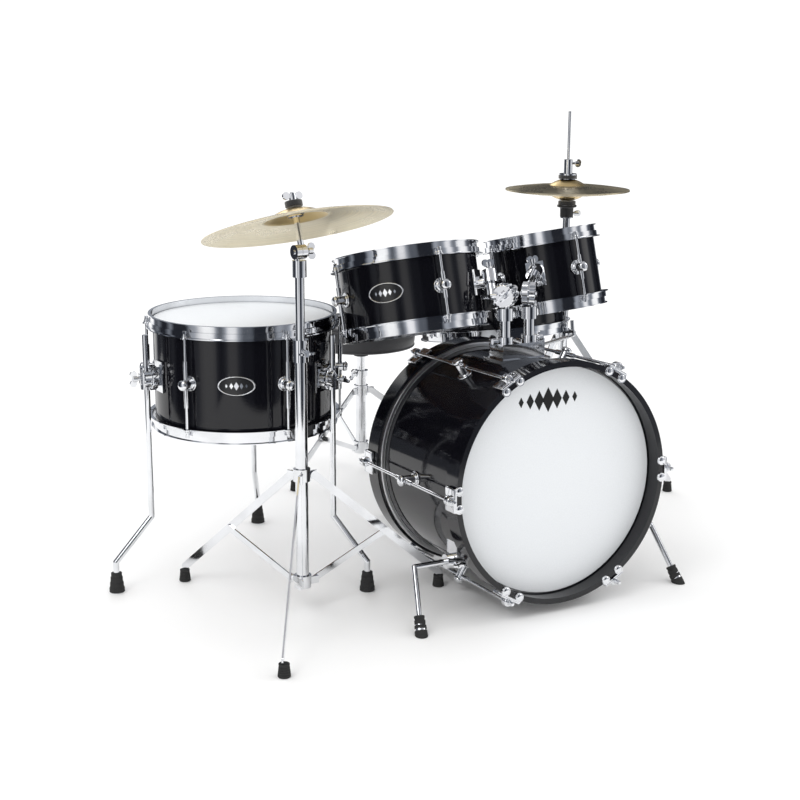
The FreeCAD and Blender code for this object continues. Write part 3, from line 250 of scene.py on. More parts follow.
def mix_colour(tree, mask, first, second):
    node = tree.nodes.new("ShaderNodeMix")
    node.data_type = "RGBA"
    tree.links.new(mask, node.inputs["Factor"])
    for socket, value in ((node.inputs[6], first), (node.inputs[7], second)):
        if isinstance(value, bpy.types.NodeSocket):
            tree.links.new(value, socket)
        else:
            socket.default_value = value
    return node.outputs[2]


def centred(tree, coords, place):
    """Coordinates whose origin and Z axis are those of a placed piece."""
    mapping = tree.nodes.new("ShaderNodeMapping")
    mapping.vector_type = "TEXTURE"
    mapping.inputs["Location"].default_value = place.to_translation()
    mapping.inputs["Rotation"].default_value = place.to_euler()
    tree.links.new(coords, mapping.inputs["Vector"])
    return mapping.outputs["Vector"]


def shade(value, factor):
    return (value[0] * factor, value[1] * factor, value[2] * factor, 1)


# ---------------------------------------------------------------- finishes
def plain_finish(name, colour, base, smear, metallic=0.0, grain=None, grain_strength=0.1, scale=12.0, coat=0.0,
                 sheen=0.0):
    """A finish of one colour whose gloss, tone and surface vary with handling."""
    material, tree, shader, coords = start_material(name)
    handling = use_group(tree, "Handling", coords, Base=base, Smear=smear, Scale=scale)
    tree.links.new(handling.outputs["Roughness"], shader.inputs["Roughness"])
    tone = mix_colour(tree, handling.outputs["Mask"], tuple(colour), shade(colour, 0.86))
    tree.links.new(tone, shader.inputs["Base Color"])
    shader.inputs["Metallic"].default_value = metallic
    shader.inputs["Coat Weight"].default_value = coat
    shader.inputs["Coat Roughness"].default_value = 0.04
    shader.inputs["Sheen Weight"].default_value = sheen
    shader.inputs["Sheen Roughness"].default_value = 0.5
    if grain:
        cells = use_group(tree, "Grain", coords, Scale=grain)
        bump(tree, shader, cells.outputs["Height"], grain_strength)
    else:
        bump(tree, shader, handling.outputs["Height"], 0.02, 0.0002)
    return material


def shell_finish(name, place, radius, finishes):
    """Black wrap outside with its seam, plywood inside with grain that runs round the shell."""
    material, tree, shader, coords = start_material(name)
    local = centred(tree, coords, place)
    turned = use_group(tree, "Turned", local)
    inside = math_node(tree, "LESS_THAN", turned.outputs["Radius"], radius - 0.0012)
    stretch = tree.nodes.new("ShaderNodeCombineXYZ")
    tree.links.new(math_node(tree, "MULTIPLY", turned.outputs["Angle"], 1.4), stretch.inputs["X"])
    tree.links.new(math_node(tree, "MULTIPLY", turned.outputs["Along"], 90.0), stretch.inputs["Y"])
    rings = tree.nodes.new("ShaderNodeTexNoise")
    rings.inputs["Scale"].default_value = 3
    rings.inputs["Detail"].default_value = 8
    tree.links.new(stretch.outputs["Vector"], rings.inputs["Vector"])
    wood = mix_colour(tree, rings.outputs["Fac"], shade(finishes.plywood, 0.55), shade(finishes.plywood, 1.35))
    handling = use_group(tree, "Handling", coords, Base=0.045, Smear=0.07, Scale=9.0)
    seam_distance = math_node(tree, "ABSOLUTE", math_node(tree, "SUBTRACT", turned.outputs["Angle"], 1.9))
    seam = math_node(tree, "LESS_THAN", seam_distance, 0.004)
    wrap = mix_colour(tree, seam, tuple(finishes.wrap), (0.0, 0.0, 0.0, 1))
    tree.links.new(mix_colour(tree, inside, wrap, wood), shader.inputs["Base Color"])
    rough = tree.nodes.new("ShaderNodeMix")
    rough.inputs["B"].default_value = 0.55
    tree.links.new(inside, rough.inputs["Factor"])
    tree.links.new(handling.outputs["Roughness"], rough.inputs["A"])
    tree.links.new(rough.outputs["Result"], shader.inputs["Roughness"])
    shader.inputs["Specular IOR Level"].default_value = 0.42
    height = math_node(tree, "SUBTRACT", handling.outputs["Height"], seam)
    bump(tree, shader, height, 0.04, 0.0004)
    return material


def cymbal_finish(name, place, bell, finishes):
    """Lathed brass: fine grooves round the bow, tone bands, and a smoother, darker bell."""
    material, tree, shader, coords = start_material(name)
    local = centred(tree, coords, place)
    turned = use_group(tree, "Turned", local)
    radius = turned.outputs["Radius"]
    band = tree.nodes.new("ShaderNodeTexNoise")
    band.noise_dimensions = "1D"
    band.inputs["Scale"].default_value = 260
    band.inputs["Detail"].default_value = 6
    tree.links.new(radius, band.inputs["W"])
    groove = math_node(tree, "SINE", math_node(tree, "MULTIPLY", radius, 5200.0))
    bow = math_node(tree, "GREATER_THAN", radius, bell)
    grooves = math_node(tree, "MULTIPLY", groove, bow)
    lathed = mix_colour(tree, band.outputs["Fac"], shade(finishes.brass, 0.70), shade(finishes.brass, 1.12))
    tree.links.new(mix_colour(tree, bow, tuple(finishes.bell_brass), lathed), shader.inputs["Base Color"])
    shader.inputs["Metallic"].default_value = 1.0
    shader.inputs["Anisotropic"].default_value = 0.5
    handling = use_group(tree, "Handling", coords, Base=0.27, Smear=0.12, Scale=14.0)
    tree.links.new(handling.outputs["Roughness"], shader.inputs["Roughness"])
    height = math_node(tree, "ADD", math_node(tree, "MULTIPLY", grooves, 0.25), band.outputs["Fac"])
    bump(tree, shader, height, 0.22, 0.0004)
    return material


def head_finish(name, place, edge, finishes):
    """Sprayed white coating that stops short of the rim, on film with an aluminium flesh hoop; the coating carries
    painted shade in the valleys of its grain.
    """
    material, tree, shader, coords = start_material(name)
    local = centred(tree, coords, place)
    turned = use_group(tree, "Turned", local)
    grain = use_group(tree, "Grain", coords, Scale=1500.0)
    handling = use_group(tree, "Handling", coords, Base=0.46, Smear=0.16, Scale=7.0)
    # coating colour with painted shade, darker in the valleys of the grain bump
    coating_with_painted_shade = mix_colour(tree, grain.outputs["Painted Shade"], shade(finishes.coating, 0.93), shade(finishes.coating, 1.05))
    metal = math_node(tree, "GREATER_THAN", turned.outputs["Radius"], edge)
    tree.links.new(mix_colour(tree, metal, coating_with_painted_shade, (0.72, 0.72, 0.73, 1)), shader.inputs["Base Color"])
    tree.links.new(metal, shader.inputs["Metallic"])
    rough = tree.nodes.new("ShaderNodeMix")
    rough.inputs["B"].default_value = 0.28
    tree.links.new(metal, rough.inputs["Factor"])
    tree.links.new(handling.outputs["Roughness"], rough.inputs["A"])
    tree.links.new(rough.outputs["Result"], shader.inputs["Roughness"])
    bump(tree, shader, grain.outputs["Height"], 0.12, 0.0003)
    return material


def clear_finish(name):
    """Clear film: nearly all light passes, with a sharp highlight."""
    material, tree, shader, coords = start_material(name)
    handling = use_group(tree, "Handling", coords, Base=0.04, Smear=0.12, Scale=10.0)
    tree.links.new(handling.outputs["Roughness"], shader.inputs["Roughness"])
    tone = mix_colour(tree, handling.outputs["Mask"], (0.97, 0.97, 0.97, 1), (0.90, 0.90, 0.91, 1))
    tree.links.new(tone, shader.inputs["Base Color"])
    shader.inputs["Transmission Weight"].default_value = 1.0
    shader.inputs["IOR"].default_value = 1.25
    return material


def finish(key):
    found = bpy.data.materials.get(key)
    if found:
        return found
    colours = bpy.context.scene.kit_finishes
    table = {
        "chrome_plate": lambda: plain_finish(key, colours.chrome, 0.045, 0.07, metallic=1.0, scale=18.0),
        "satin_steel": lambda: plain_finish(key, (0.55, 0.55, 0.56, 1), 0.3, 0.12, metallic=1.0, grain=1800.0,
                                            grain_strength=0.05),
        "flesh_hoop": lambda: plain_finish(key, (0.74, 0.74, 0.75, 1), 0.26, 0.1, metallic=1.0),
        "moulded_black": lambda: plain_finish(key, (0.012, 0.012, 0.013, 1), 0.32, 0.14, grain=1400.0,
                                              grain_strength=0.06),
        "boot_rubber": lambda: plain_finish(key, colours.rubber, 0.5, 0.2, grain=1100.0, grain_strength=0.12,
                                            scale=30.0),
        "pressed_felt": lambda: plain_finish(key, (0.018, 0.018, 0.02, 1), 0.9, 0.05, grain=700.0,
                                             grain_strength=0.9, sheen=0.7),
        "grey_felt": lambda: plain_finish(key, (0.26, 0.25, 0.24, 1), 0.9, 0.05, grain=700.0, grain_strength=0.9,
                                          sheen=0.7),
        "powder_coat": lambda: plain_finish(key, (0.014, 0.014, 0.015, 1), 0.38, 0.12, grain=1600.0,
                                            grain_strength=0.1),
        "cast_plate": lambda: plain_finish(key, (0.62, 0.62, 0.63, 1), 0.22, 0.12, metallic=1.0, grain=900.0,
                                           grain_strength=0.08),
        "seat_vinyl": lambda: plain_finish(key, colours.vinyl, 0.4, 0.12, grain=620.0, grain_strength=0.4,
                                           scale=8.0, coat=0.1),
        "hoop_lacquer": lambda: plain_finish(key, colours.wrap, 0.07, 0.06, scale=7.0),
        "clear_film": lambda: clear_finish(key),
        "badge_enamel": lambda: plain_finish(key, (0.006, 0.006, 0.007, 1), 0.14, 0.08),
        "printed_ink": lambda: plain_finish(key, (0.005, 0.005, 0.005, 1), 0.6, 0.1, grain=1500.0,
                                            grain_strength=0.08),
    }
    return table[key]()


# ---------------------------------------------------------------- mesh tools
def finish_mesh(bm, name, body, material, place=None, sharp=38.0, recalc=True):
    """Turn a bmesh into a shaded piece that rides on a body."""
    if recalc:
        bmesh.ops.remove_doubles(bm, verts=bm.verts, dist=1e-6)
        bmesh.ops.recalc_face_normals(bm, faces=bm.faces)
    if place is not None:
        bmesh.ops.transform(bm, matrix=place, verts=bm.verts)
    limit = math.radians(sharp)
    for face in bm.faces:
        face.smooth = True
    for edge in bm.edges:
        edge.smooth = len(edge.link_faces) != 2 or edge.calc_face_angle(0.0) < limit
    mesh = bpy.data.meshes.new(name)
    bm.to_mesh(mesh)
    bm.free()
    piece = bpy.data.objects.new(name, mesh)
    bpy.context.scene.collection.objects.link(piece)
    mesh.materials.append(material)
    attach(piece, body)
    return piece


def lathe(bm, outline, place=None, steps=48):
    """Spin a closed or open outline of (radius, height) about Z; returns the new vertices."""
    verts = [bm.verts.new((radius, 0.0, height)) for radius, height in outline]
    edges = [bm.edges.new(pair) for pair in zip(verts, verts[1:])]
    before = set(bm.verts) - set(verts)
    bmesh.ops.spin(bm, geom=verts + edges, cent=(0, 0, 0), axis=(0, 0, 1), dvec=(0, 0, 0), angle=math.tau,
                   steps=steps, use_merge=True, use_normal_flip=False, use_duplicate=False)
    made = [vert for vert in bm.verts if vert not in before]
    bmesh.ops.remove_doubles(bm, verts=made, dist=1e-6)
    made = [vert for vert in bm.verts if vert not in before]
    if place is not None:
        bmesh.ops.transform(bm, matrix=place, verts=made)
    return made


def rounded(outline, radius, steps=4):
    """Round the corners of an open outline with short arcs."""
    points = [Vector(point) for point in outline]
    result = [points[0]]
    for before, corner, after in zip(points, points[1:], points[2:]):
        reach = min(radius, (corner - before).length * 0.45, (after - corner).length * 0.45)
        start = corner + (before - corner).normalized() * reach
        end = corner + (after - corner).normalized() * reach
        for step in range(steps + 1):
            share = step / steps
            result.append(start.lerp(corner, share).lerp(corner.lerp(end, share), share))
    result.append(points[-1])
    return [(point.x, point.y) for point in result]


def box_mesh(bm, size, place, bevel=0.0008, segments=2):
    """A box with rounded edges; returns its vertices."""
    made = bmesh.ops.create_cube(bm, size=1.0)["verts"]
    bmesh.ops.scale(bm, vec=size, verts=made)
    edges = list({edge for vert in made for edge in vert.link_edges})
    rounded_box = bmesh.ops.bevel(bm, geom=edges, offset=bevel, offset_type="OFFSET", segments=segments,
                                  profile=0.5, affect="EDGES", material=-1)
    verts = list(set(made) | set(rounded_box["verts"]))
    verts = [vert for vert in verts if vert.is_valid]
    bmesh.ops.transform(bm, matrix=place, verts=verts)
    return verts


def close_gaps(bm):
    """Fill every open edge loop, such as the underside left by an extrusion."""
    bmesh.ops.holes_fill(bm, edges=[edge for edge in bm.edges if edge.is_boundary], sides=0)


def stand_on(point, axis):
    """Placement at a point with Z along axis."""
    return Matrix.Translation(point) @ UP.rotation_difference(Vector(axis).normalized()).to_matrix().to_4x4()


def face_to(point, axis, facing):
    """Placement at a point with Z along axis and X as near as possible to facing."""
    z_dir = Vector(axis).normalized()
    x_dir = (Vector(facing) - z_dir * Vector(facing).dot(z_dir)).normalized()
    turn = Matrix((x_dir, z_dir.cross(x_dir), z_dir)).transposed().to_4x4()
    return Matrix.Translation(point) @ turn


def polar(radius, angle, height=0.0):
    turn = math.radians(angle)
    return Vector((radius * math.cos(turn), radius * math.sin(turn), height))


def tube_place(node):
    """Middle and axis of a turned CAD node, read from its walls, with its radius and half length."""
    low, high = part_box(node)
    mesh = frame["nodes"][node].data
    normals = np.array([face.normal for face in mesh.polygons])
    areas = np.array([face.area for face in mesh.polygons])
    spread = (normals * areas[:, None]).T @ normals
    axis = Vector(np.linalg.eigh(spread)[1][:, 0])
    if axis.z < -0.5 or (abs(axis.z) < 0.5 and axis.y < 0):
        axis.negate()
    middle = (low + high) / 2
    points = np.array([vert.co for vert in mesh.vertices]) - np.array(middle)
    along = points @ np.array(axis)
    across = np.linalg.norm(points - np.outer(along, np.array(axis)), axis=1)
    return stand_on(middle, axis), float(across.max()), float(along.max())


def loose_parts(node):
    """The separate solids of a CAD node as lists of points."""
    bm = bmesh.new()
    bm.from_mesh(frame["nodes"][node].data)
    bmesh.ops.remove_doubles(bm, verts=bm.verts, dist=1e-6)
    left = set(bm.verts)
    parts = []
    while left:
        stack = [left.pop()]
        part = []
        while stack:
            vert = stack.pop()
            part.append(vert.co.copy())
            for edge in vert.link_edges:
                other = edge.other_vert(vert)
                if other in left:
                    left.remove(other)
                    stack.append(other)
        parts.append(part)
    bm.free()
    return parts


# ---------------------------------------------------------------- studio
class KIT_OT_studio(bpy.types.Operator):
    """Floor, sky, lamps and camera"""
    bl_idname = "kit.studio"
    bl_label = "Studio"

    def execute(self, context):
        studio = context.scene.kit_studio
        bm = bmesh.new()
        bmesh.ops.create_grid(bm, x_segments=1, y_segments=1, size=FLOOR_HALF_WIDTH)
        mesh = bpy.data.meshes.new("studio_floor")
        bm.to_mesh(mesh)
        bm.free()
        floor = bpy.data.objects.new("studio_floor", mesh)
        floor.location.z = -0.0004
        context.scene.collection.objects.link(floor)
        mesh.materials.append(self.paper(studio.floor_colour))
        self.sky(context.scene)
        for name, place, size, power in (
                ("key_box", (-2.6, -1.6, 3.0), 1.6, 26), ("fill_box", (3.0, -1.6, 2.2), 1.2, 10),
                ("rim_box", (0.6, 3.2, 2.6), 1.6, 18)):
            self.lamp(context.scene, name, Vector(place), size, power)
        self.camera(context.scene, studio)
        return {"FINISHED"}

    def paper(self, colour):
        """Matt seamless paper with a faint tooth."""
        material, tree, shader, coords = start_material("studio_paper")
        shader.inputs["Base Color"].default_value = tuple(colour)
        shader.inputs["Roughness"].default_value = 0.6
        shader.inputs["Specular IOR Level"].default_value = 0.2
        grain = use_group(tree, "Grain", coords, Scale=300.0)
        bump(tree, shader, grain.outputs["Height"], 0.02)
        return material

    def lamp(self, scene, name, place, size, power):
        light = bpy.data.lights.new(name, "AREA")
        light.energy = power
        light.size = size
        lamp = bpy.data.objects.new(name, light)
        lamp.matrix_world = stand_on(place, place - Vector((0, 0, 0.35)))
        scene.collection.objects.link(lamp)

    def sky(self, scene):
        """White to the eye; in reflections a studio with white walls and dark gaps between them."""
        world = bpy.data.worlds.new("studio_sky")
        world.use_nodes = True
        scene.world = world
        tree = world.node_tree
        coords = tree.nodes.new("ShaderNodeTexCoord").outputs["Generated"]
        split = tree.nodes.new("ShaderNodeSeparateXYZ")
        tree.links.new(coords, split.inputs["Vector"])
        turn = math_node(tree, "ARCTAN2", split.outputs["Y"], split.outputs["X"])
        wave = 0.5
        for count, phase, share in ((3.0, 1.0, 0.26), (7.0, 2.2, 0.16), (13.0, 0.4, 0.12)):
            ripple = math_node(tree, "SINE", math_node(tree, "MULTIPLY", math_node(tree, "ADD", turn, phase), count))
            wave = math_node(tree, "ADD", math_node(tree, "MULTIPLY", ripple, share), wave)
        ramp = tree.nodes.new("ShaderNodeValToRGB")
        stops = ramp.color_ramp.elements
        stops[0].position, stops[0].color = 0.34, (0.016, 0.018, 0.024, 1)
        stops[1].position, stops[1].color = 0.86, (1.05, 1.05, 1.05, 1)
        for position, colour in ((0.46, (0.10, 0.11, 0.13, 1)), (0.58, (0.34, 0.36, 0.40, 1)),
                                 (0.68, (0.80, 0.80, 0.82, 1))):
            stops.new(position).color = colour
        tree.links.new(wave, ramp.inputs["Fac"])
        lift = tree.nodes.new("ShaderNodeMapRange")
        lift.inputs["From Min"].default_value = 0.55
        lift.inputs["From Max"].default_value = 0.9
        tree.links.new(split.outputs["Z"], lift.inputs["Value"])
        walls = mix_colour(tree, lift.outputs["Result"], ramp.outputs["Color"], (0.5, 0.5, 0.52, 1))
        path = tree.nodes.new("ShaderNodeLightPath")
        seen = mix_colour(tree, path.outputs["Is Glossy Ray"], (1.0, 1.0, 1.0, 1), walls)
        background = tree.nodes["Background"]
        background.inputs["Strength"].default_value = 1.12
        tree.links.new(seen, background.inputs["Color"])

    def camera(self, scene, studio):
        data = bpy.data.cameras.new("studio_camera")
        data.lens = studio.camera_lens
        data.sensor_width = 36.0
        data.clip_start = 0.05
        data.dof.use_dof = False
        camera = bpy.data.objects.new("studio_camera", data)
        azimuth = math.radians(studio.camera_azimuth)
        elevation = math.radians(studio.camera_elevation)
        back = Vector((math.sin(azimuth) * math.cos(elevation), -math.cos(azimuth) * math.cos(elevation),
                       math.sin(elevation)))
        right = UP.cross(back).normalized()
        turn = Matrix((right, back.cross(right), back)).transposed().to_4x4()
        roll = Matrix.Rotation(math.radians(studio.camera_roll), 4, "Z")
        camera.matrix_world = Matrix.Translation(studio.camera_place) @ turn @ roll
        scene.collection.objects.link(camera)
        scene.camera = camera
        scene.view_settings.view_transform = "Standard"


# ---------------------------------------------------------------- finishes on the CAD nodes
NODE_FINISHES = {
    "bass_hoops": "hoop_lacquer", "pedal_frame": "powder_coat", "hat_frame": "powder_coat",
    "throne_pan": "powder_coat", "snare_wires": "satin_steel", "pedal_beater": "grey_felt",
    "pedal_board": "cast_plate", "hat_pedal": "cast_plate",
}


class KIT_OT_finishes(bpy.types.Operator):
    """Finishes of the pieces that keep their CAD shape"""
    bl_idname = "kit.finishes"
    bl_label = "Finishes"

    def execute(self, context):
        colours = context.scene.kit_finishes
        for name, node in frame["nodes"].items():
            if name.endswith("_shell"):
                place, radius, _half = tube_place(name)
                material = shell_finish("wrap_" + name, place, radius, colours)
            else:
                material = finish(NODE_FINISHES.get(name, "chrome_plate"))
            node.data.materials.clear()
            node.data.materials.append(material)
        return {"FINISHED"}


# ---------------------------------------------------------------- heads
def head_outline(radius, plane, ring_width, ring_depth):
    """Half section of a head: film, collar over the bearing edge, and flesh hoop below it."""
    collar = rounded([(0.0, plane), (radius + 0.0008, plane), (radius + 0.0012, plane - 0.0046),
                      (radius + ring_width, plane - 0.0046), (radius + ring_width, plane - ring_depth),
                      (radius + 0.0004, plane - ring_depth), (radius + 0.0004, plane - ring_depth + 0.002)], 0.0014)
    inner = [(radius + 0.0004, plane - 0.001), (radius - 0.0002, plane - 0.0003), (0.0, plane - 0.0003)]
    return collar + inner


class KIT_OT_heads(bpy.types.Operator):
    """Coated batter heads, clear resonant heads and the bass drum's two heads"""
    bl_idname = "kit.heads"
    bl_label = "Drum heads"

    def execute(self, context):
        colours = context.scene.kit_finishes
        steps = context.scene.kit_sizes.spin_steps
        for drum, (body, _count, _first, _badge) in SMALL_DRUMS.items():
            place, radius, half = tube_place(drum + "_shell")
            flip = place @ Matrix.Rotation(math.pi, 4, "X")
            coating_with_painted_shade = head_finish("coated_" + drum, place, radius + 0.0013, colours)
            top = self.head(drum + "_batter_head", body, place, radius, half, coating_with_painted_shade, steps)
            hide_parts(drum + "_heads")
            self.head(drum + "_clear_head", body, flip, radius, half, finish("clear_film"), steps)
            self.flesh_hoop(drum + "_flesh_hoop", body, flip, radius, half, steps)
        place, radius, half = tube_place("bass_shell")
        flip = place @ Matrix.Rotation(math.pi, 4, "X")
        for name, node, side in (("bass_front_skin", "bass_head_front", flip), ("bass_rear_skin", "bass_head_rear",
                                                                                place)):
            bm = bmesh.new()
            lathe(bm, head_outline(radius, half + 0.0009, 0.0078, 0.015), side, steps)
            skin = finish_mesh(bm, name, "kit", head_finish("coated_" + name, side, radius + 0.0013, colours),
                               sharp=30)
            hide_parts(node)
        self.ornament(flip, half)
        return {"FINISHED"}

    def head(self, name, body, place, radius, half, material, steps):
        bm = bmesh.new()
        lathe(bm, head_outline(radius, half + 0.0009, 0.0055, 0.0085), place, steps)
        return finish_mesh(bm, name, body, material, sharp=30)

    def flesh_hoop(self, name, body, place, radius, half, steps):
        """Metal channel round the clear head."""
        low = half - 0.0077
        bm = bmesh.new()
        ring = rounded([(radius + 0.0006, low), (radius + 0.0058, low), (radius + 0.0058, low + 0.0042),
                        (radius + 0.0006, low + 0.0042)], 0.0006)
        lathe(bm, ring + [ring[0]], place, steps)
        finish_mesh(bm, name, body, finish("flesh_hoop"), sharp=50)

    def ornament(self, place, half):
        """A short row of plain lozenges near the top of the front head."""
        bm = bmesh.new()
        high = place.inverted().to_3x3() @ UP
        high = Vector((high.x, high.y, 0)).normalized() * ORNAMENT_RISE
        for index in range(-3, 4):
            size = 0.022 - 0.0042 * abs(index)
            made = bmesh.ops.create_circle(bm, cap_ends=True, segments=4, radius=size)["verts"]
            centre = Matrix.Translation((high.x + index * LOZENGE_STEP - 0.014, high.y, half + 0.00095))
            bmesh.ops.transform(bm, matrix=centre @ Matrix.Diagonal((0.55, 1.0, 1.0, 1.0)), verts=made)
        thick = bmesh.ops.extrude_face_region(bm, geom=list(bm.faces))
        raised = [item for item in thick["geom"] if isinstance(item, bmesh.types.BMVert)]
        bmesh.ops.translate(bm, vec=(0, 0, 0.0002), verts=raised)
        close_gaps(bm)
        finish_mesh(bm, "front_ornament", "kit", finish("printed_ink"), place)


# ---------------------------------------------------------------- lugs, claws and badges
class KIT_OT_lugs(bpy.types.Operator):
    """Domed lug caps, flared lug feet, washers and square key heads of the tension rods"""
    bl_idname = "kit.lugs"
    bl_label = "Lugs"

    def execute(self, context):
        cap = context.scene.kit_sizes.lug_cap_radius
        for drum, (body, count, first, _badge) in SMALL_DRUMS.items():
            place, radius, half = tube_place(drum + "_shell")
            bm = bmesh.new()
            for index in range(count):
                angle = first + index * 360.0 / count
                self.lug(bm, radius, angle, 0.0, cap, 0.024)
                for side in (-1, 1):
                    self.key_head(bm, polar(radius + 0.013, angle, side * (half - 0.0104)), side)
            finish_mesh(bm, drum + "_lug_caps", body, finish("chrome_plate"), place, sharp=40)
        self.bass(cap)
        return {"FINISHED"}

    def lug(self, bm, radius, angle, height, cap, reach):
        outwards = polar(1, angle)
        dome = rounded([(0.0, 0.0042), (cap * 0.62, 0.0036), (cap, 0.0004), (cap, -0.0034), (cap * 0.8, -0.006),
                        (0.0, -0.006)], 0.003)
        lathe(bm, dome, stand_on(polar(radius + reach, angle, height), outwards), 32)
        foot = rounded([(0.0, 0.0048), (0.0082, 0.0048), (0.0095, 0.003), (0.0135, 0.0024), (0.0138, 0.0004),
                        (0.0, 0.0004)], 0.0012)
        lathe(bm, foot, stand_on(polar(radius, angle, height), outwards), 32)

    def key_head(self, bm, point, side):
        axis = Vector((0, 0, side))
        washer = rounded([(0.0, 0.0014), (0.0062, 0.0014), (0.0066, 0.0), (0.0, 0.0)], 0.0004, 2)
        lathe(bm, washer, stand_on(point, axis), 20)
        collar = rounded([(0.0, 0.0052), (0.0046, 0.0052), (0.0048, 0.001), (0.0, 0.001)], 0.0008, 2)
        lathe(bm, collar, stand_on(point, axis), 20)
        box_mesh(bm, (0.0056, 0.0056, 0.008), stand_on(point + axis * 0.0086, axis), 0.0006)

    def bass(self, cap):
        place, radius, half = tube_place("bass_shell")
        rod_line = BASS_ROD_LINE
        bm = bmesh.new()
        count = 6
        for index in range(count):
            angle = index * 360.0 / count
            self.lug(bm, radius, angle, 0.0, cap * 1.05, rod_line - radius + 0.009)
        finish_mesh(bm, "bass_lug_caps", "kit", finish("chrome_plate"), place, sharp=40)
        claws = bmesh.new()
        face = half + HOOP_FACE
        for index in range(count):
            angle = index * 360.0 / count
            for side in (-1, 1):
                self.claw(claws, angle, side, face, rod_line)
        finish_mesh(claws, "bass_claw_caps", "kit", finish("chrome_plate"), place, sharp=40)

    def claw(self, bm, angle, side, face, rod_line):
        """Two domed lobes on the hoop's face, a rounded saddle over its edge and the rod's key head."""
        outwards = polar(1, angle)
        across = UP.cross(outwards)
        axis = Vector((0, 0, side))
        lobe = rounded([(0.0, 0.0052), (0.0056, 0.0044), (0.0084, 0.0012), (0.0084, -0.0002), (0.0, -0.0002)],
                       0.002)
        for turn in (-1, 1):
            centre = polar(0.211, angle, side * face) + across * (turn * 0.0155)
            lathe(bm, lobe, stand_on(centre, axis), 28)
        saddle = face_to(polar(0.2203, angle, side * (face - 0.012)), outwards, across)
        box_mesh(bm, (0.0425, 0.0305, 0.0046), saddle, 0.002, 3)
        boss = rounded([(0.0, 0.0075), (0.0068, 0.0072), (0.0086, 0.0052), (0.0086, -0.006), (0.0, -0.006)], 0.0016)
        lathe(bm, boss, stand_on(polar(rod_line, angle, side * (face - 0.006)), axis), 28)
        self.key_head(bm, polar(rod_line, angle, side * (face + 0.0015)), side)


class KIT_OT_badges(bpy.types.Operator):
    """Oval badges: an enamel field inside a raised metal rim, curved to the shell"""
    bl_idname = "kit.badges"
    bl_label = "Badges"

    def execute(self, context):
        for drum, (body, _count, _first, angle) in SMALL_DRUMS.items():
            if angle is None:
                continue
            place, radius, _half = tube_place(drum + "_shell")
            field = bmesh.new()
            self.oval(field, self.WIDE - 0.0012, self.HIGH - 0.0008, 0.0007)
            self.bend(field, radius + 0.0006, angle)
            finish_mesh(field, drum + "_badge_field", body, finish("badge_enamel"), place)
            rim = bmesh.new()
            self.ring(rim, self.WIDE, self.HIGH, 0.0008)
            self.motif(rim)
            close_gaps(rim)
            self.bend(rim, radius + 0.0013, angle)
            finish_mesh(rim, drum + "_badge_rim", body, finish("chrome_plate"), place)
        return {"FINISHED"}

    WIDE = 0.0320
    HIGH = 0.0165

    def motif(self, bm):
        """A short row of plain lozenges."""
        for index in range(-2, 3):
            size = 0.0074 - 0.0019 * abs(index)
            made = bmesh.ops.create_circle(bm, cap_ends=True, segments=4, radius=size)["verts"]
            place = Matrix.Translation((index * 0.0088, 0, 0.0001)) @ Matrix.Diagonal((0.62, 1, 1, 1))
            bmesh.ops.transform(bm, matrix=place, verts=made)
            faces = list({face for vert in made for face in vert.link_faces})
            raised = bmesh.ops.extrude_face_region(bm, geom=faces)["geom"]
            bmesh.ops.translate(bm, vec=(0, 0, 0.0004), verts=[v for v in raised if isinstance(v, bmesh.types.BMVert)])

    def oval(self, bm, wide, high, thick):
        """A flat plate in rings, fine enough to follow the shell when it is bent."""
        made = bmesh.ops.create_circle(bm, cap_ends=False, segments=48, radius=1.0)["verts"]
        loop = list({edge for vert in made for edge in vert.link_edges})
        last = 1.0
        for share in (1.0, 0.86, 0.72, 0.58, 0.44, 0.30, 0.16, 0.05):
            grown = bmesh.ops.extrude_edge_only(bm, edges=loop)["geom"]
            verts = [item for item in grown if isinstance(item, bmesh.types.BMVert)]
            loop = [item for item in grown if isinstance(item, bmesh.types.BMEdge)]
            bmesh.ops.scale(bm, vec=(share / last, share / last, 1.0), verts=verts)
            if share == 1.0:
                bmesh.ops.translate(bm, vec=(0, 0, thick), verts=verts)
            last = share
        bmesh.ops.scale(bm, vec=(wide, high, 1.0), verts=bm.verts)
        close_gaps(bm)

    def ring(self, bm, wide, high, thick):
        """A round wire bent to the oval."""
        lathe(bm, [(1.0 + 0.045 * math.cos(turn), thick * math.sin(turn))
                   for turn in [math.tau * step / 10 for step in range(11)]], steps=56)
        bmesh.ops.scale(bm, vec=(wide, high, 1.0), verts=bm.verts)

    def bend(self, bm, radius, angle):
        """Lay the flat badge on the shell: X goes round it, Y up, Z outwards."""
        middle = math.radians(angle)
        for vert in bm.verts:
            turn = middle + vert.co.x / radius
            out = radius + vert.co.z
            vert.co = Vector((out * math.cos(turn), out * math.sin(turn), vert.co.y))


# ---------------------------------------------------------------- cymbals and felts
def cymbal_outline(rim, bell, bell_rise, bow_rise, gauge, hole):
    """Half section of a cymbal, rim at zero: a shallow bow, a crease, and a rounded bell."""
    under = []
    bow_steps = 14
    for step in range(bow_steps + 1):
        share = step / bow_steps
        under.append((rim + (bell - rim) * share, bow_rise * (1 - (1 - share) ** 1.7)))
    bell_steps = 9
    for step in range(1, bell_steps + 1):
        share = step / bell_steps
        height = bow_rise + bell_rise * math.sin(share * math.pi / 2) ** 0.9
        under.append((bell + (hole - bell) * share, height))
    over = [(radius, height + gauge) for radius, height in reversed(under)]
    edge = [(rim + gauge * 0.3, gauge * 0.5)]
    return under + over + edge + [under[0]]


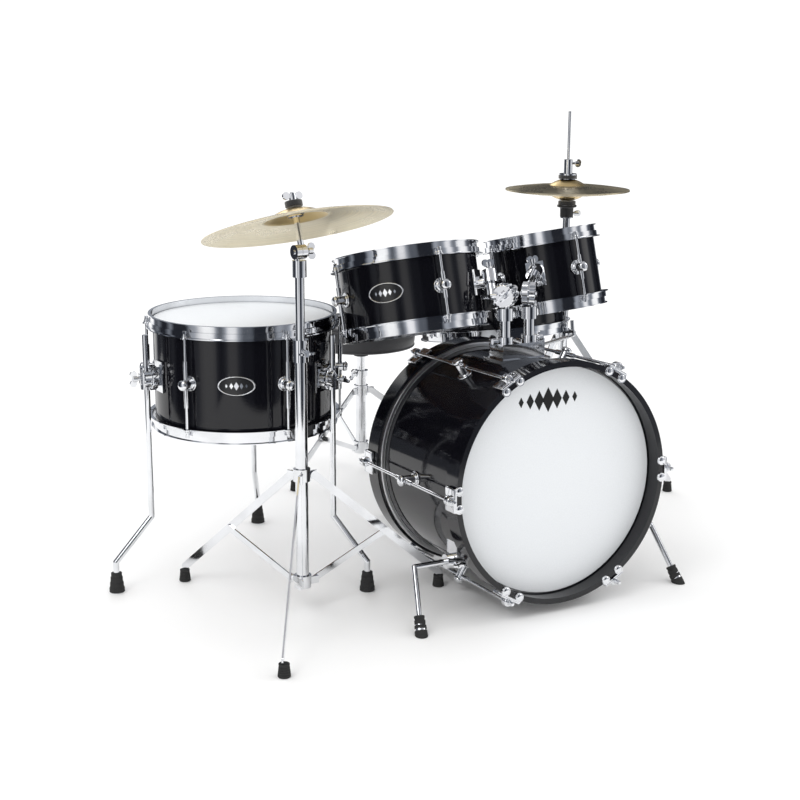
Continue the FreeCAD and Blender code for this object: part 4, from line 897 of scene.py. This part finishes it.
class KIT_OT_cymbals(bpy.types.Operator):
    """Crash and hi-hat cymbals, spun with a bow and a bell"""
    bl_idname = "kit.cymbals"
    bl_label = "Cymbals"

    def execute(self, context):
        gauge = context.scene.kit_sizes.cymbal_gauge
        joints = {joint["name"]: joint for joint in frame["joints"]}
        mesh = frame["nodes"]["crash_cymbal"].data
        normals = np.array([face.normal for face in mesh.polygons])
        areas = np.array([face.area for face in mesh.polygons])
        axis = Vector(np.linalg.eigh((normals * areas[:, None]).T @ normals)[1][:, 2])
        if axis.z < 0:
            axis.negate()
        bell_top = Vector(joints["crash_spin"]["pos_m"])
        crash_place = stand_on(bell_top - axis * 0.032, axis)
        self.cymbal("crash_cymbal", "crash_plate", crash_place, 0.1618, 0.054, 0.017, 0.015, gauge)
        rod_low, rod_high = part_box("hat_rod")
        stem = (rod_low + rod_high) / 2
        low_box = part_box("hat_cymbal_bottom")
        top_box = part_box("hat_cymbal_top")
        top_place = stand_on(Vector((stem.x, stem.y, top_box[0].z)), UP)
        low_place = stand_on(Vector((stem.x, stem.y, low_box[1].z)), -UP)
        self.cymbal("hat_cymbal_top", "hat_pull", top_place, 0.1363, 0.040, 0.013, 0.009, gauge)
        self.cymbal("hat_cymbal_bottom", "kit", low_place, 0.1363, 0.040, 0.013, 0.009, gauge)
        return {"FINISHED"}

    def cymbal(self, node, body, place, rim, bell, bell_rise, bow_rise, gauge):
        bm = bmesh.new()
        lathe(bm, cymbal_outline(rim, bell, bell_rise, bow_rise, gauge, 0.0052), place,
              bpy.context.scene.kit_sizes.spin_steps)
        material = cymbal_finish("lathed_" + node, place, bell, bpy.context.scene.kit_finishes)
        piece = finish_mesh(bm, node + "_brass", body, material, sharp=32)
        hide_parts(node)


class KIT_OT_felts(bpy.types.Operator):
    """Felts of the crash and the hi-hat, and the black seat cup"""
    bl_idname = "kit.felts"
    bl_label = "Felts"

    def execute(self, context):
        parts = loose_parts("crash_felts")
        joints = {joint["name"]: joint for joint in frame["joints"]}
        middle = Vector(joints["crash_spin"]["pos_m"])
        centres = [sum(part, Vector()) / len(part) for part in parts]
        axis = (max(centres, key=lambda point: point.z) - min(centres, key=lambda point: point.z)).normalized()
        bm = bmesh.new()
        self.pad(bm, middle - axis * 0.0106, axis, 0.0150, 0.0032, 0.0088)
        self.pad(bm, middle + axis * 0.0030, axis, 0.0150, 0.0032, 0.0108)
        crash = finish_mesh(bm, "crash_felt_pads", "crash_head", finish("pressed_felt"))
        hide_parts("crash_felts")
        low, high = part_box("hat_seat_felt")
        stem = (low + high) / 2
        bm = bmesh.new()
        self.pad(bm, Vector((stem.x, stem.y, low.z)), UP, 0.0193, 0.0037, high.z - low.z)
        seat = finish_mesh(bm, "hat_seat_pad", "kit", finish("pressed_felt"))
        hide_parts("hat_seat_felt")
        bm = bmesh.new()
        cup = rounded([(0.0082, -0.0270), (0.0144, -0.0270), (0.0148, -0.006), (0.0214, -0.0044), (0.0216, 0.0),
                       (0.0040, 0.0)], 0.0015)
        lathe(bm, cup + [cup[0]], stand_on(Vector((stem.x, stem.y, low.z - 0.0001)), UP))
        finish_mesh(bm, "hat_seat_cup", "kit", finish("moulded_black"))
        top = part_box("hat_cymbal_top")[1].z
        bm = bmesh.new()
        self.pad(bm, Vector((stem.x, stem.y, top + 0.0002)), UP, 0.0204, 0.0048, 0.0092)
        finish_mesh(bm, "hat_clutch_pad", "hat_pull", finish("pressed_felt"))
        return {"FINISHED"}

    def pad(self, bm, base, axis, radius, hole, height):
        outline = rounded([(hole, 0.0), (radius, 0.0), (radius, height), (hole, height)], 0.0022, 5)
        lathe(bm, outline + [outline[0]], stand_on(base, axis), 40)


# ---------------------------------------------------------------- rubber
def ribbed(bottom, top, height, ribs, lip):
    """Half section of a ribbed rubber foot standing on its base."""
    outline = [(0.0, 0.0), (bottom - 0.0012, 0.0), (bottom, 0.0012)]
    usable = height - 0.006
    for index in range(ribs):
        start = 0.0022 + usable * index / ribs
        depth = usable / ribs
        radius = bottom + (top - bottom) * (start / height)
        outline += [(radius, start), (radius, start + depth * 0.55), (radius - 0.0011, start + depth * 0.66),
                    (radius - 0.0011, start + depth * 0.9)]
    outline += [(top + 0.0006, height - 0.0032), (top + 0.0006, height), (lip, height)]
    return outline


class KIT_OT_rubber(bpy.types.Operator):
    """Ribbed boots of the stands and flared tips of the spurs and floor tom legs"""
    bl_idname = "kit.rubber"
    bl_label = "Rubber feet"

    def execute(self, context):
        ribs = context.scene.kit_sizes.boot_ribs
        bm = bmesh.new()
        for part in loose_parts("stand_boots"):
            centre = sum(part, Vector()) / len(part)
            high = max(point.z for point in part)
            lathe(bm, ribbed(0.0108, 0.0084, high + 0.002, ribs, 0.0), stand_on((centre.x, centre.y, 0.0), UP), 32)
        boots = finish_mesh(bm, "stand_boot_rubber", "kit", finish("boot_rubber"), sharp=35)
        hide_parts("stand_boots")
        for index in range(1, 4):
            name = f"floor_tom_leg_{index}"
            parts = sorted(loose_parts(name), key=lambda part: max(point.z for point in part))
            tip = parts[0]
            centre = sum(tip, Vector()) / len(tip)
            bm = bmesh.new()
            lathe(bm, ribbed(0.0141, 0.0092, 0.036, 3, 0.0054), stand_on((centre.x, centre.y, 0.0), UP), 40)
            finish_mesh(bm, name + "_rubber", name, finish("boot_rubber"), sharp=35)
        for name in ("spur_left", "spur_right"):
            self.spur_tip(name)
        return {"FINISHED"}

    def spur_tip(self, name):
        """The tip follows the spur's lower run and is cut level with the floor."""
        parts = sorted(loose_parts(name), key=lambda part: max(point.z for point in part))
        tip, rod = parts[0], parts[-1]
        tip_high = max(point.z for point in tip)
        foot = [point for point in rod if point.z < tip_high]
        foot_x = sum(point.x for point in foot) / len(foot)
        elbow = [point for point in rod if point.z > 0.085 and abs(point.x - foot_x) < 0.027]
        middle = sum(foot, Vector()) / len(foot)
        axis = (sum(elbow, Vector()) / len(elbow) - middle).normalized()
        base = middle - axis * ((middle.z - 0.0005) / axis.z)
        height = (tip_high - 0.0005) / axis.z
        bm = bmesh.new()
        outline = [(0.0, -0.008), (0.0112, -0.008)] + ribbed(0.0112, 0.0086, height, 3, 0.0054)[2:]
        lathe(bm, outline, stand_on(base, axis), 40)
        cut = bmesh.ops.bisect_plane(bm, geom=bm.verts[:] + bm.edges[:] + bm.faces[:], plane_co=(0, 0, 0.0001),
                                     plane_no=(0, 0, -1), clear_outer=True)
        rim = [item for item in cut["geom_cut"] if isinstance(item, bmesh.types.BMEdge)]
        bmesh.ops.edgeloop_fill(bm, edges=rim)
        finish_mesh(bm, name + "_rubber", name, finish("boot_rubber"), sharp=35)


# ---------------------------------------------------------------- throne
class KIT_OT_throne(bpy.types.Operator):
    """Round vinyl cushion with a welt seam and gathered side wall"""
    bl_idname = "kit.throne"
    bl_label = "Throne"

    def execute(self, context):
        sizes = context.scene.kit_sizes
        low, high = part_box("throne_seat")
        radius = (high.x - low.x) / 2
        tall = high.z - low.z
        middle = Vector(((low.x + high.x) / 2, (low.y + high.y) / 2, low.z))
        outline = rounded([(0.0, 0.0008), (radius - 0.012, 0.0008), (radius - 0.003, 0.006), (radius, 0.022),
                           (radius - 0.0012, tall - 0.024), (radius - 0.007, tall - 0.011),
                           (radius - 0.022, tall - sizes.cushion_crown), (radius * 0.45, tall - 0.0012),
                           (0.0, tall)], 0.012, 7)
        bm = bmesh.new()
        lathe(bm, outline, None, 144)
        for vert in bm.verts:
            reach = math.hypot(vert.co.x, vert.co.y)
            if reach < radius * 0.7:
                continue
            turn = math.atan2(vert.co.y, vert.co.x)
            gather = math.sin(turn * 34) + 0.6 * math.sin(turn * 21 + 1.7)
            wall = max(0.0, 1.0 - abs(vert.co.z - (tall - 0.020)) / 0.020)
            vert.co.xy *= 1 - 0.0007 * gather * wall / reach
        cushion = finish_mesh(bm, "throne_cushion", "throne_top", finish("seat_vinyl"),
                              Matrix.Translation(middle), sharp=80)
        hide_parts("throne_seat")
        welt = bmesh.new()
        for height, inset in ((tall - 0.0195, -0.0008), (0.0062, 0.0022)):
            cord = sizes.piping_radius
            lathe(welt, [(radius - inset - 0.0012 + cord * math.cos(turn), height + cord * math.sin(turn))
                         for turn in [math.tau * step / 12 for step in range(13)]], None, 144)
        finish_mesh(welt, "throne_welt", "throne_top", finish("seat_vinyl"), Matrix.Translation(middle),
                    sharp=80)
        return {"FINISHED"}


# ---------------------------------------------------------------- pedals
class KIT_OT_pedals(bpy.types.Operator):
    """Grip ribs on the two foot boards"""
    bl_idname = "kit.pedals"
    bl_label = "Pedal boards"

    def execute(self, context):
        joints = {joint["name"]: joint for joint in frame["joints"]}
        for node, body, joint in (("pedal_board", "pedal_board", "pedal_press"),
                                  ("hat_pedal", "hat_pedal", "hat_pedal_press")):
            across = Vector(joints[joint]["axis"]).normalized()
            heel = Vector(joints[joint]["pos_m"])
            mesh = frame["nodes"][node].data
            faces = [face for face in mesh.polygons if face.normal.z > 0.9]
            up = sum((Vector(face.normal) * face.area for face in faces), Vector()).normalized()
            along = across.cross(up).normalized()
            low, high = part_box(node)
            towards = ((low + high) / 2 - heel)
            if along.dot(towards) < 0:
                along.negate()
            bm = bmesh.new()
            for index in range(13):
                place = face_to(heel + along * (0.040 + index * 0.0135) + up * 0.0090, up, across)
                box_mesh(bm, (0.050, 0.004, 0.0016), place, 0.0006)
            rim = face_to(heel + along * 0.220 + up * 0.0094, up, across)
            box_mesh(bm, (0.064, 0.006, 0.005), rim, 0.0015, 3)
            finish_mesh(bm, node + "_grip", body, finish("cast_plate"))
        return {"FINISHED"}


# ---------------------------------------------------------------- castings
def toothed(bm, place, radius, thick, teeth, depth):
    """A disc with rounded teeth on its edge and a dished face."""
    made = bmesh.ops.create_circle(bm, cap_ends=False, segments=teeth * 4, radius=radius)["verts"]
    for index, vert in enumerate(made):
        turn = math.atan2(vert.co.y, vert.co.x)
        vert.co *= 1 - depth / radius * (0.5 - 0.5 * math.cos(turn * teeth))
    loop = list({edge for vert in made for edge in vert.link_edges})
    for inset, rise in ((0.0, thick), (0.0024, 0.0008), (0.0038, -0.0016), (radius * 0.52, 0.0)):
        grown = bmesh.ops.extrude_edge_only(bm, edges=loop)["geom"]
        verts = [item for item in grown if isinstance(item, bmesh.types.BMVert)]
        loop = [item for item in grown if isinstance(item, bmesh.types.BMEdge)]
        for vert in verts:
            flat = Vector((vert.co.x, vert.co.y, 0))
            vert.co -= flat.normalized() * min(inset, flat.length * 0.9)
            vert.co.z += rise
        made += verts
    bmesh.ops.edgeloop_fill(bm, edges=loop)
    rim = {edge for vert in made[:teeth * 4] for edge in vert.link_edges if edge.is_boundary}
    bmesh.ops.edgeloop_fill(bm, edges=list(rim))
    bmesh.ops.transform(bm, matrix=place, verts=made)


class KIT_OT_castings(bpy.types.Operator):
    """Toothed tilter discs of the rack toms and fluted leg clamps of the floor tom"""
    bl_idname = "kit.castings"
    bl_label = "Castings"

    def execute(self, context):
        joints = {joint["name"]: joint for joint in frame["joints"]}
        for side in ("left", "right"):
            name = "tom_" + side
            pivot = Vector(joints[name + "_tilt"]["pos_m"])
            axis = Vector(joints[name + "_tilt"]["axis"]).normalized()
            for label, body, sign in (("_fixed_disc", name + "_stem", -1), ("_moving_disc", name + "_drum", 1)):
                bm = bmesh.new()
                toothed(bm, stand_on(pivot + axis * (sign * 0.0016), axis * sign), 0.0213, 0.0096, 20, 0.0016)
                finish_mesh(bm, name + label, body, finish("chrome_plate"), sharp=34)
        for index in range(1, 4):
            self.clamp(index)
        return {"FINISHED"}

    def clamp(self, index):
        """A fluted barrel round the leg with a cap on its outer end."""
        shell_low, shell_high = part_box("floor_tom_shell")
        middle = (shell_low + shell_high) / 2
        parts = loose_parts(f"floor_tom_leg_{index}")
        rod = max(parts, key=lambda part: max(point.z for point in part))
        top = max(point.z for point in rod)
        upper = [point for point in rod if point.z > top - 0.004]
        line = sum(upper, Vector()) / len(upper)
        outwards = Vector((line.x - middle.x, line.y - middle.y, 0)).normalized()
        height = self.bracket_height()
        bm = bmesh.new()
        inner = Vector((line.x, line.y, height)) - outwards * 0.0150
        toothed(bm, stand_on(inner, outwards), 0.0235, 0.0100, 16, 0.0018)
        toothed(bm, stand_on(inner + outwards * 0.0110, outwards), 0.0190, 0.0125, 16, 0.0014)
        finish_mesh(bm, f"leg_clamp_{index}", "kit", finish("chrome_plate"), sharp=34)

    def bracket_height(self):
        """Middle of the leg brackets: they are the parts of the lug set that stand furthest from the shell."""
        low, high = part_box("floor_tom_shell")
        middle = (low + high) / 2
        far = [point for part in loose_parts("floor_tom_lugs") for point in part
               if math.hypot(point.x - middle.x, point.y - middle.y) > (high.x - low.x) / 2 + 0.034]
        heights = [point.z for point in far]
        return (min(heights) + max(heights)) / 2


# ---------------------------------------------------------------- add-on
OPERATORS = (KIT_OT_studio, KIT_OT_finishes, KIT_OT_heads, KIT_OT_lugs, KIT_OT_badges, KIT_OT_cymbals,
             KIT_OT_felts, KIT_OT_rubber, KIT_OT_throne, KIT_OT_pedals, KIT_OT_castings)
SETTINGS = (("kit_sizes", KitSizes), ("kit_finishes", KitFinishes), ("kit_studio", KitStudio))


class KIT_PT_panel(bpy.types.Panel):
    bl_idname = "KIT_PT_panel"
    bl_label = "Drum Kit"
    bl_space_type = "VIEW_3D"
    bl_region_type = "UI"
    bl_category = "Drum Kit"

    def draw(self, context):
        layout = self.layout
        for operator in OPERATORS:
            layout.operator(operator.bl_idname)
        for name, group in SETTINGS:
            box = layout.box()
            settings = getattr(context.scene, name)
            for prop in group.__annotations__:
                box.prop(settings, prop)


def register():
    for cls in [group for _name, group in SETTINGS] + list(OPERATORS) + [KIT_PT_panel]:
        bpy.utils.register_class(cls)
    for name, group in SETTINGS:
        setattr(bpy.types.Scene, name, PointerProperty(type=group))


def unregister():
    for name, _group in SETTINGS:
        delattr(bpy.types.Scene, name)
    for cls in [KIT_PT_panel] + list(reversed(OPERATORS)) + [group for _name, group in SETTINGS]:
        bpy.utils.unregister_class(cls)


def main():
    register()
    for operator in OPERATORS:
        family, name = operator.bl_idname.split(".")
        getattr(getattr(bpy.ops, family), name)()


if __name__ == "__main__":
    main()
